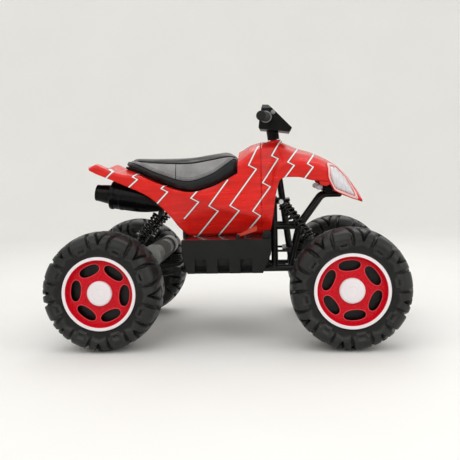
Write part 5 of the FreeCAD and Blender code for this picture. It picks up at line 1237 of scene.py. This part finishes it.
def plump(made, swell):
    """Pads a closed cover out with pressure, each point moving straight out by the swell at most."""
    rest = [v.co.copy() for v in made.data.vertices]
    cloth = made.modifiers.new("padding", "CLOTH")
    cloth.settings.use_pressure = True
    cloth.settings.uniform_pressure_force = PAD_PRESSURE
    cloth.settings.quality = 5
    cloth.settings.effector_weights.gravity = 0
    scene = bpy.context.scene
    for step in range(PAD_STEPS):
        scene.frame_set(step + 1)
    padded = evaluated(made).to_mesh()
    moves = [v.co - start for v, start in zip(padded.vertices, rest)]
    made.modifiers.remove(cloth)
    scene.frame_set(1)
    ways = [v.normal.copy() for v in made.data.vertices]
    for v, start, way, move in zip(made.data.vertices, rest, ways, moves):
        v.co = start + way * min(max(move.dot(way), 0), swell)


def shaped_by(made, kind, **settings):
    """Gives a piece the mesh that a modifier makes of it."""
    modifier = made.modifiers.new("shape", kind)
    for key, value in settings.items():
        setattr(modifier, key, value)
    mesh = bpy.data.meshes.new_from_object(evaluated(made))
    made.modifiers.remove(modifier)
    made.data = mesh


def laid_on(tree, run, lift):
    """A run of points pushed in from the left onto a surface, evened out along the run."""
    met = [tree.ray_cast(Vector((p.x, FAR_OUT, p.z)), Vector((0, -1, 0)))[0] for p in run]
    met = [p for p in met if p]
    even = np.convolve(np.pad([p.y for p in met], 2, mode="edge"), np.ones(5) / 5, mode="valid")
    return [Vector((p.x, depth + lift, p.z)) for p, depth in zip(met, even)]


def surface_of(mesh):
    """A mesh's surface, in millimetres, to lay runs of points on."""
    points = [v.co / MM for v in mesh.vertices]
    return BVHTree.FromPolygons(points, [tuple(p.vertices) for p in mesh.polygons])


def seat_lines(x):
    """At a place along the seat: the heights of its band and top edge seams, and its half width."""
    share, low, top, width = seat_row(x)
    band = min(float(eased(BAND_HEIGHTS, share)[0]), (top - low) * BAND_MOST)
    return low + band, low + (top - low) * EDGE_HEIGHT, width


def seam_runs():
    """The seat's seams on its left side, round the band, along the top edge and down, and its creases."""
    runs = {"band": [], "edge": []}
    for x in np.linspace(SEAT_START + 6, SEAT_END - 6, 60):
        band_z, edge_z, width = seat_lines(x)
        runs["band"].append(Vector((x, width, band_z)))
        runs["edge"].append(Vector((x, width * EDGE_WIDTH, edge_z)))
    for name, shift, lean, start, end in SIDE_SEAMS:
        x = SEAT_SEAM_X + shift
        band_z, edge_z, width = seat_lines(x)
        foot, head = Vector((x, width, band_z)), Vector((x + lean, width * EDGE_WIDTH, edge_z))
        runs[name] = [foot.lerp(head, start + (end - start) * k / 12) for k in range(13)]
    return runs


def sew(mesh, runs, depth):
    """Draws the cover in along its seams and creases, and marks where its panels meet."""
    spots, normals = np.zeros(len(mesh.vertices) * 3), np.zeros(len(mesh.vertices) * 3)
    mesh.vertices.foreach_get("co", spots)
    mesh.vertices.foreach_get("normal", normals)
    spots = spots.reshape(-1, 3)
    one_side = spots * (1, 0, 1) + np.abs(spots) * (0, 1, 0)
    seam_gap, crease_gap = np.full(len(spots), 1.0), np.full(len(spots), 1.0)
    for name, run in runs.items():
        gap = crease_gap if name.startswith("crease") else seam_gap
        for mark in np.array(spaced(run, 200)) * MM:
            np.minimum(gap, np.linalg.norm(one_side - mark, axis=1), out=gap)
    pull = np.exp(-((seam_gap / SEAM_REACH) ** 2))
    pull = pull + CREASE_PULL * np.exp(-((crease_gap / CREASE_REACH) ** 2))
    places = np.linspace(SEAT_START, SEAT_END, 200)
    lines = np.array([seat_lines(x)[:2] for x in places])
    marks = {"seam_gap": seam_gap}
    for name, line in (("above_band", lines[:, 0]), ("above_edge", lines[:, 1])):
        marks[name] = (spots[:, 2] / MM - np.interp(spots[:, 0] / MM, places, line)) * MM
    for name, values in marks.items():
        mesh.attributes.new(name, "FLOAT", "POINT").data.foreach_set("value", values)
    spots -= normals.reshape(-1, 3) * pull[:, None] * depth
    mesh.vertices.foreach_set("co", spots.ravel())
    mesh.update()


class QUAD_OT_seat(Operator):
    """Padded saddle seat with its band, seams and piping"""

    bl_idname = "quad.seat"
    bl_label = "Seat"

    def execute(self, context):
        colours, sizes = context.scene.quad_colours, context.scene.quad_sizes
        # The side panels take the paler grey as a painted sheen; above the edge seam the top takes its
        # darker tone, the band its black, and the seams a dark line.
        zones = [
            ("above_edge", colours.seat_top, -SEAM_BLUR, SEAM_BLUR),
            ("above_band", colours.band, SEAM_BLUR, -SEAM_BLUR),
            ("seam_gap", colours.band, 0.0017, 0.0009),
        ]
        look = leather("seat_leather", colours.leather, zones)
        mesh = cushion_mesh(sizes.seat_swell / MM * 0.6)
        made = piece("seat_pad", mesh, look, "chassis", "seat_black", "seat_cushion")
        shaped_by(made, "REMESH", mode="VOXEL", voxel_size=COVER_CELL)
        plump(made, sizes.seat_swell)
        shaped_by(made, "SUBSURF", levels=1, render_levels=1)
        fine = made.data
        fine.materials.clear()
        fine.materials.append(look)
        cover = surface_of(fine)
        runs = {name: laid_on(cover, spaced(run, 90), 0) for name, run in seam_runs().items()}
        sew(fine, runs, sizes.seam_depth)
        soften(fine, 70)
        cover = surface_of(fine)
        cords = [tube(laid_on(cover, runs[name], 0.6), 1.3, 8) for name in ("edge", "band")]
        trim = leather("seat_trim", colours.band, sheen=0.0)
        make("seat_piping", both_sides(joined(*cords)), 60, trim, "seat_black")
        threads = []
        for rise in STITCH_RISES:
            raised = [p + Vector((0, 0, rise)) for p in runs["band"][5:-5]]
            line = laid_on(cover, spaced(raised, 180), 0.45)
            threads += [tube([p, p.lerp(q, 1.2)], 0.55, 5) for p, q in zip(line[::2], line[1::2])]
        thread = looks_of(context.scene)["thread"]
        make("seat_stitches", both_sides(joined(*threads)), 60, thread, "seat_black")
        return {"FINISHED"}


# Handlebar, mufflers, springs and trim


class QUAD_OT_handlebar(Operator):
    """Handlebar cover, ribbed grips, button and the lip round the column"""

    bl_idname = "quad.handlebar"
    bl_label = "Handlebar"

    def execute(self, context):
        looks = looks_of(context.scene)
        cover = bevelled_copy("handlebar_cover", 3.5, 3)
        black = looks["black_plastic"]
        piece("handlebar_pod", cover, black, "steering", "black_plastic", "handlebar_cover")
        lay = along(BAR_BEND, BAR_END)
        length = (BAR_END - BAR_BEND).length + 4
        start = length - GRIP_LENGTH
        ribs = [*GRIP_FLANGE]
        for k in range(RIB_COUNT):
            ribs += [(r, RIB_START + k * RIB_PITCH + a) for r, a in GRIP_RIB]
        grip = [(r, start + a) for r, a in ribs] + [(r, length + a) for r, a in GRIP_CLOSING]
        ring = [(r, start + a) for r, a in GRIP_BAND]
        grips, rings = [both_sides(moved(turned(line, 40), lay)) for line in (grip, ring)]
        make("ribbed_grips", grips, 30, looks["grip_rubber"], "grip_rubber", "grips", body="steering")
        grey = looks["button_grey"]
        make("grip_rings", rings, 40, grey, "button_grey", body="steering")
        knob = placed("horn_knob", *HORN_AXIS)
        make("horn_knob", knob, 50, grey, "button_grey", "horn_button", body="horn_button")
        lip = placed("column_lip", COLUMN_TOP - COLUMN_WAY * COLUMN_LIP_DROP, COLUMN_TOP)
        make("column_lip", lip, 40, looks["shell_paint"], "body_red")
        return {"FINISHED"}


class QUAD_OT_mufflers(Operator):
    """Exhaust mufflers with rolled end rings and open tips"""

    bl_idname = "quad.mufflers"
    bl_label = "Mufflers"

    def execute(self, context):
        gloss = looks_of(context.scene)["gloss_black"]
        for name, profile, node in (
            ("muffler_cans", "muffler_can", "mufflers"),
            ("muffler_mouths", "muffler_tip", "muffler_tips"),
        ):
            make(name, both_sides(placed(profile, *MUFFLER_AXIS)), 32, gloss, "gloss_black", node)
        return {"FINISHED"}


def coil_path(start, end, radius, wire, turns):
    """A wound wire from one seat to the other, with its end turns closed up."""
    way = (end - start).normalized()
    side = way.orthogonal().normalized()
    other = way.cross(side)
    length = (end - start).length - wire
    closed = wire * CLOSED_RISE
    rises = [(0, 0), (CLOSED_TURN, closed), (turns - CLOSED_TURN, length - closed), (turns, length)]
    path = []
    for k in range(turns * COIL_STEPS + 1):
        turn = k / COIL_STEPS
        angle = math.tau * turn
        out = side * math.cos(angle) + other * math.sin(angle)
        path.append(start + way * (wire / 2 + eased(rises, turn)[0]) + out * radius)
    return path


class QUAD_OT_springs(Operator):
    """Coil springs carried on the upper halves of the shocks"""

    bl_idname = "quad.springs"
    bl_label = "Springs"

    def execute(self, context):
        black = looks_of(context.scene)["shock_black"]
        for kind, (top, foot, drop, length, radius, wire, turns, travel) in SPRINGS.items():
            top = Vector(top)
            way = (Vector(foot) - top).normalized()
            start, end = [top + way * (drop + reach) for reach in (SPRING_ROOM, length - SPRING_ROOM)]
            coil = tube(coil_path(start, end, radius, wire, turns), wire / 2, 10)
            if kind == "rear":
                made = make(
                    "rear_coils", both_sides(coil), 60, black, "shock_black", "rear_springs",
                    body="rear_shock_upper",
                )
                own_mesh(made)
                continue
            for side, sign in SIDES.items():
                made = make(
                    f"front_coil_{side}", coil if sign > 0 else flipped(coil), 60, black, "shock_black",
                    f"front_spring_{side}", body=f"front_shock_upper_{side}",
                )
                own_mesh(made)
        return {"FINISHED"}


def opened_bends(mesh, cuts):
    """Cuts short runs out of a tube frame, each its middle and two end points with the way out at each."""
    with edited(mesh) as work:
        for _, *ends in cuts:
            for spot, way in ends:
                everything = [*work.verts, *work.edges, *work.faces]
                bmesh.ops.bisect_plane(work, geom=everything, plane_co=spot * MM, plane_no=way, dist=1e-6)
        gone = []
        for face in work.faces:
            here = face.calc_center_median() / MM
            for middle, *ends in cuts:
                inside = all((here - spot).dot(way) < -0.01 for spot, way in ends)
                if inside and (here - middle).length < BEND_REACH * 1.6:
                    gone.append(face)
        bmesh.ops.delete(work, geom=gone, context="FACES")
        bmesh.ops.holes_fill(work, edges=[e for e in work.edges if e.is_boundary], sides=0)


class QUAD_OT_frame(Operator):
    """Front frame with its nose tubes drawn round in smooth bends"""

    bl_idname = "quad.frame"
    bl_label = "Front frame"

    def execute(self, context):
        black = looks_of(context.scene)["frame_black"]
        mesh = bevelled_copy("front_frame", 0.6, 1, 50)
        cuts, elbows = [], []
        for sign in SIDES.values():
            joint, bend, tip = [Vector((x, sign * NOSE_TUBE_Y, z)) for x, z in NOSE_TUBE]
            back, on = (joint - bend).normalized(), (tip - bend).normalized()
            ends = [(bend + way * BEND_REACH, way) for way in (back, on)]
            cuts.append((bend, *ends))
            run = rounded([ends[0][0] + back, bend, ends[1][0] + on], [BEND_REACH * 2], 14)
            elbows.append(tube(run, NOSE_TUBE_RADIUS + 0.04, 28))
        opened_bends(mesh, cuts)
        soften(mesh, 35)
        piece("front_frame_tubes", mesh, black, "chassis", "frame_black", "front_frame")
        make("nose_bends", joined(*elbows), 40, black, "frame_black")
        return {"FINISHED"}


def paint_footboard(mesh, looks):
    """Gives a footboard its glossy tread plate, and its recess floors painted darker as shade."""
    mesh.materials.append(looks["glossy_tread"])
    mesh.materials.append(looks["recess_black"])
    for face in mesh.polygons:
        _, y, z = face.center / MM
        if face.normal.z > 0.9 and z > FOOTBOARD_TOP:
            face.material_index = 1
        elif abs(face.normal.y) > 0.9 and abs(abs(y) - RECESS_FLOOR) < 2:
            face.material_index = 2


class QUAD_OT_trim(Operator):
    """Softened footboards, pedal and gear cases, and the finishes of the frame"""

    bl_idname = "quad.trim"
    bl_label = "Frame and trim"

    def execute(self, context):
        looks = looks_of(context.scene)
        charcoal = looks["charcoal"]
        for node, (width, body, slot) in SOFTENED.items():
            mesh = bevelled_copy(node, width, 3)
            piece(f"{node}_moulding", mesh, looks[slot], body, slot, node)
            if slot == "charcoal":
                paint_footboard(mesh, looks)
        fills = []
        for outline in RECESS_FORMS:
            points, faces = plate([outline], RECESS_LENGTH, 0.3)
            fills += [([(z + middle, x, y) for x, y, z in points], faces) for middle in RECESS_CENTRES]
        make("recess_slopes", both_sides(joined(*fills)), 40, charcoal, "charcoal")
        toe = facing(plate([TOE_OUTLINE], TOE_WIDTH, 2), TOE_MIDDLE)
        make("toe_boards", both_sides(toe), 40, charcoal, "charcoal")
        tilt = Matrix.Rotation(-math.asin(PEDAL_RISE / PEDAL_LENGTH), 4, "Y")
        cheek = plate([PEDAL_CHEEK], PEDAL_CHEEK_THICK, 0.8)
        out = (PEDAL_WIDTH - PEDAL_CHEEK_THICK) / 2
        cheeks = joined(*[facing(cheek, sign * out) for sign in SIDES.values()])
        cheeks = moved(cheeks, Matrix.Translation(PEDAL_HINGE) @ tilt)
        orange = looks["pedal_orange"]
        make("pedal_cheeks", cheeks, 40, orange, "pedal_orange", body="accelerator_pedal")
        bolts = bevelled_copy("suspension_bolts", 0.7, 2)
        piece("suspension_bolt_heads", bolts, looks["steel"], "chassis", "steel", "suspension_bolts")
        bolts.materials.append(looks["frame_black"])
        for face in bolts.polygons:
            face.material_index = 1 if face.center.x < 0 else 0
        spots = [Vector(spot) for spot in FOOTBOARD_SCREWS]
        screws = [placed("screw", spot, spot + Vector(SLOPE_OUT)) for spot in spots]
        # The screws in the recesses take the same darker black, painted as shade.
        make("footboard_screws", both_sides(joined(*screws)), 40, looks["recess_black"], "frame_black")
        slots = {part["node"]: part["material_slot"] for part in frame["record"]["subparts"]}
        for node, thing in NODES.items():
            look = looks.get(slots[node])
            if look is None or thing.hide_render:
                continue
            thing.data.materials.clear()
            thing.data.materials.append(look)
        return {"FINISHED"}


# Stage


class QUAD_OT_stage(Operator):
    """Pale floor and backdrop, soft lights and the camera"""

    bl_idname = "quad.stage"
    bl_label = "Stage"

    def execute(self, context):
        stage = context.scene.quad_stage
        corners = [(0, 0, 0), (STAGE_RADIUS, 0, 0), (STAGE_RADIUS, 0, STAGE_WALL)]
        depth = rounded(corners, [STAGE_CURVE], 24)
        points = []
        for across, on in circle(1, 96):
            points += [(p.x * on, p.x * across, p.z) for p in depth]
        sweep = mesh_of("sweep", points, grid_faces(96, len(depth), True), 80)
        sweep.materials.append(moulded("sweep_paper_finish", stage.floor, 0.7, 0.012, 2, 0.03, 300, 0.5))
        floor = linked("sweep", sweep)
        for name, (place, aim, size, power) in LIGHTS.items():
            lamp = bpy.data.lights.new(name, "AREA")
            lamp.energy = getattr(stage, power)
            lamp.size = size
            held = linked(name, lamp)
            held.location = place
            held.rotation_euler = (Vector(aim) - Vector(place)).to_track_quat("-Z", "Y").to_euler()
        world = bpy.data.worlds.new("studio")
        world.use_nodes = True
        light = world.node_tree.nodes["Background"].inputs
        light["Color"].default_value = WORLD_COLOUR
        light["Strength"].default_value = WORLD_STRENGTH
        context.scene.world = world
        flat = math.cos(CAMERA_PITCH)
        look = Vector((math.sin(CAMERA_YAW) * flat, math.cos(CAMERA_YAW) * flat, math.sin(CAMERA_PITCH)))
        level = Vector((math.cos(CAMERA_YAW), -math.sin(CAMERA_YAW), 0))
        above = level.cross(look)
        right = level * math.cos(CAMERA_ROLL) + above * math.sin(CAMERA_ROLL)
        up = above * math.cos(CAMERA_ROLL) - level * math.sin(CAMERA_ROLL)
        camera = linked("camera", bpy.data.cameras.new("camera"))
        camera.data.lens = stage.lens
        turn = Matrix((right, up, -look)).transposed().to_4x4()
        camera.matrix_world = Matrix.Translation(CAMERA_PLACE) @ turn
        context.scene.camera = camera
        context.scene.view_settings.view_transform = "Standard"
        return {"FINISHED"}


class QUAD_PT_panel(Panel):
    """Lists the pieces of the quad bike"""

    bl_idname = "QUAD_PT_panel"
    bl_label = "Quad Bike"
    bl_space_type = "VIEW_3D"
    bl_region_type = "UI"
    bl_category = "Quad Bike"

    def draw(self, context):
        for maker in OPERATORS:
            self.layout.operator(maker.bl_idname)


OPERATORS = [
    QUAD_OT_stage,
    QUAD_OT_tyres,
    QUAD_OT_rims,
    QUAD_OT_rear_shell,
    QUAD_OT_front_cowl,
    QUAD_OT_seat,
    QUAD_OT_handlebar,
    QUAD_OT_mufflers,
    QUAD_OT_springs,
    QUAD_OT_frame,
    QUAD_OT_trim,
]
SETTINGS = {"quad_colours": QuadColours, "quad_sizes": QuadSizes, "quad_stage": QuadStage}


def register():
    for kind in [*SETTINGS.values(), *OPERATORS, QUAD_PT_panel]:
        bpy.utils.register_class(kind)
    for name, kind in SETTINGS.items():
        setattr(bpy.types.Scene, name, PointerProperty(type=kind))


def unregister():
    for name in SETTINGS:
        delattr(bpy.types.Scene, name)
    for kind in reversed([*SETTINGS.values(), *OPERATORS, QUAD_PT_panel]):
        bpy.utils.unregister_class(kind)


def main():
    register()
    bpy.ops.quad.stage()
    bpy.ops.quad.tyres()
    bpy.ops.quad.rims()
    bpy.ops.quad.rear_shell()
    bpy.ops.quad.front_cowl()
    bpy.ops.quad.seat()
    bpy.ops.quad.handlebar()
    bpy.ops.quad.mufflers()
    bpy.ops.quad.springs()
    bpy.ops.quad.frame()
    bpy.ops.quad.trim()


if __name__ == "__main__":
    main()
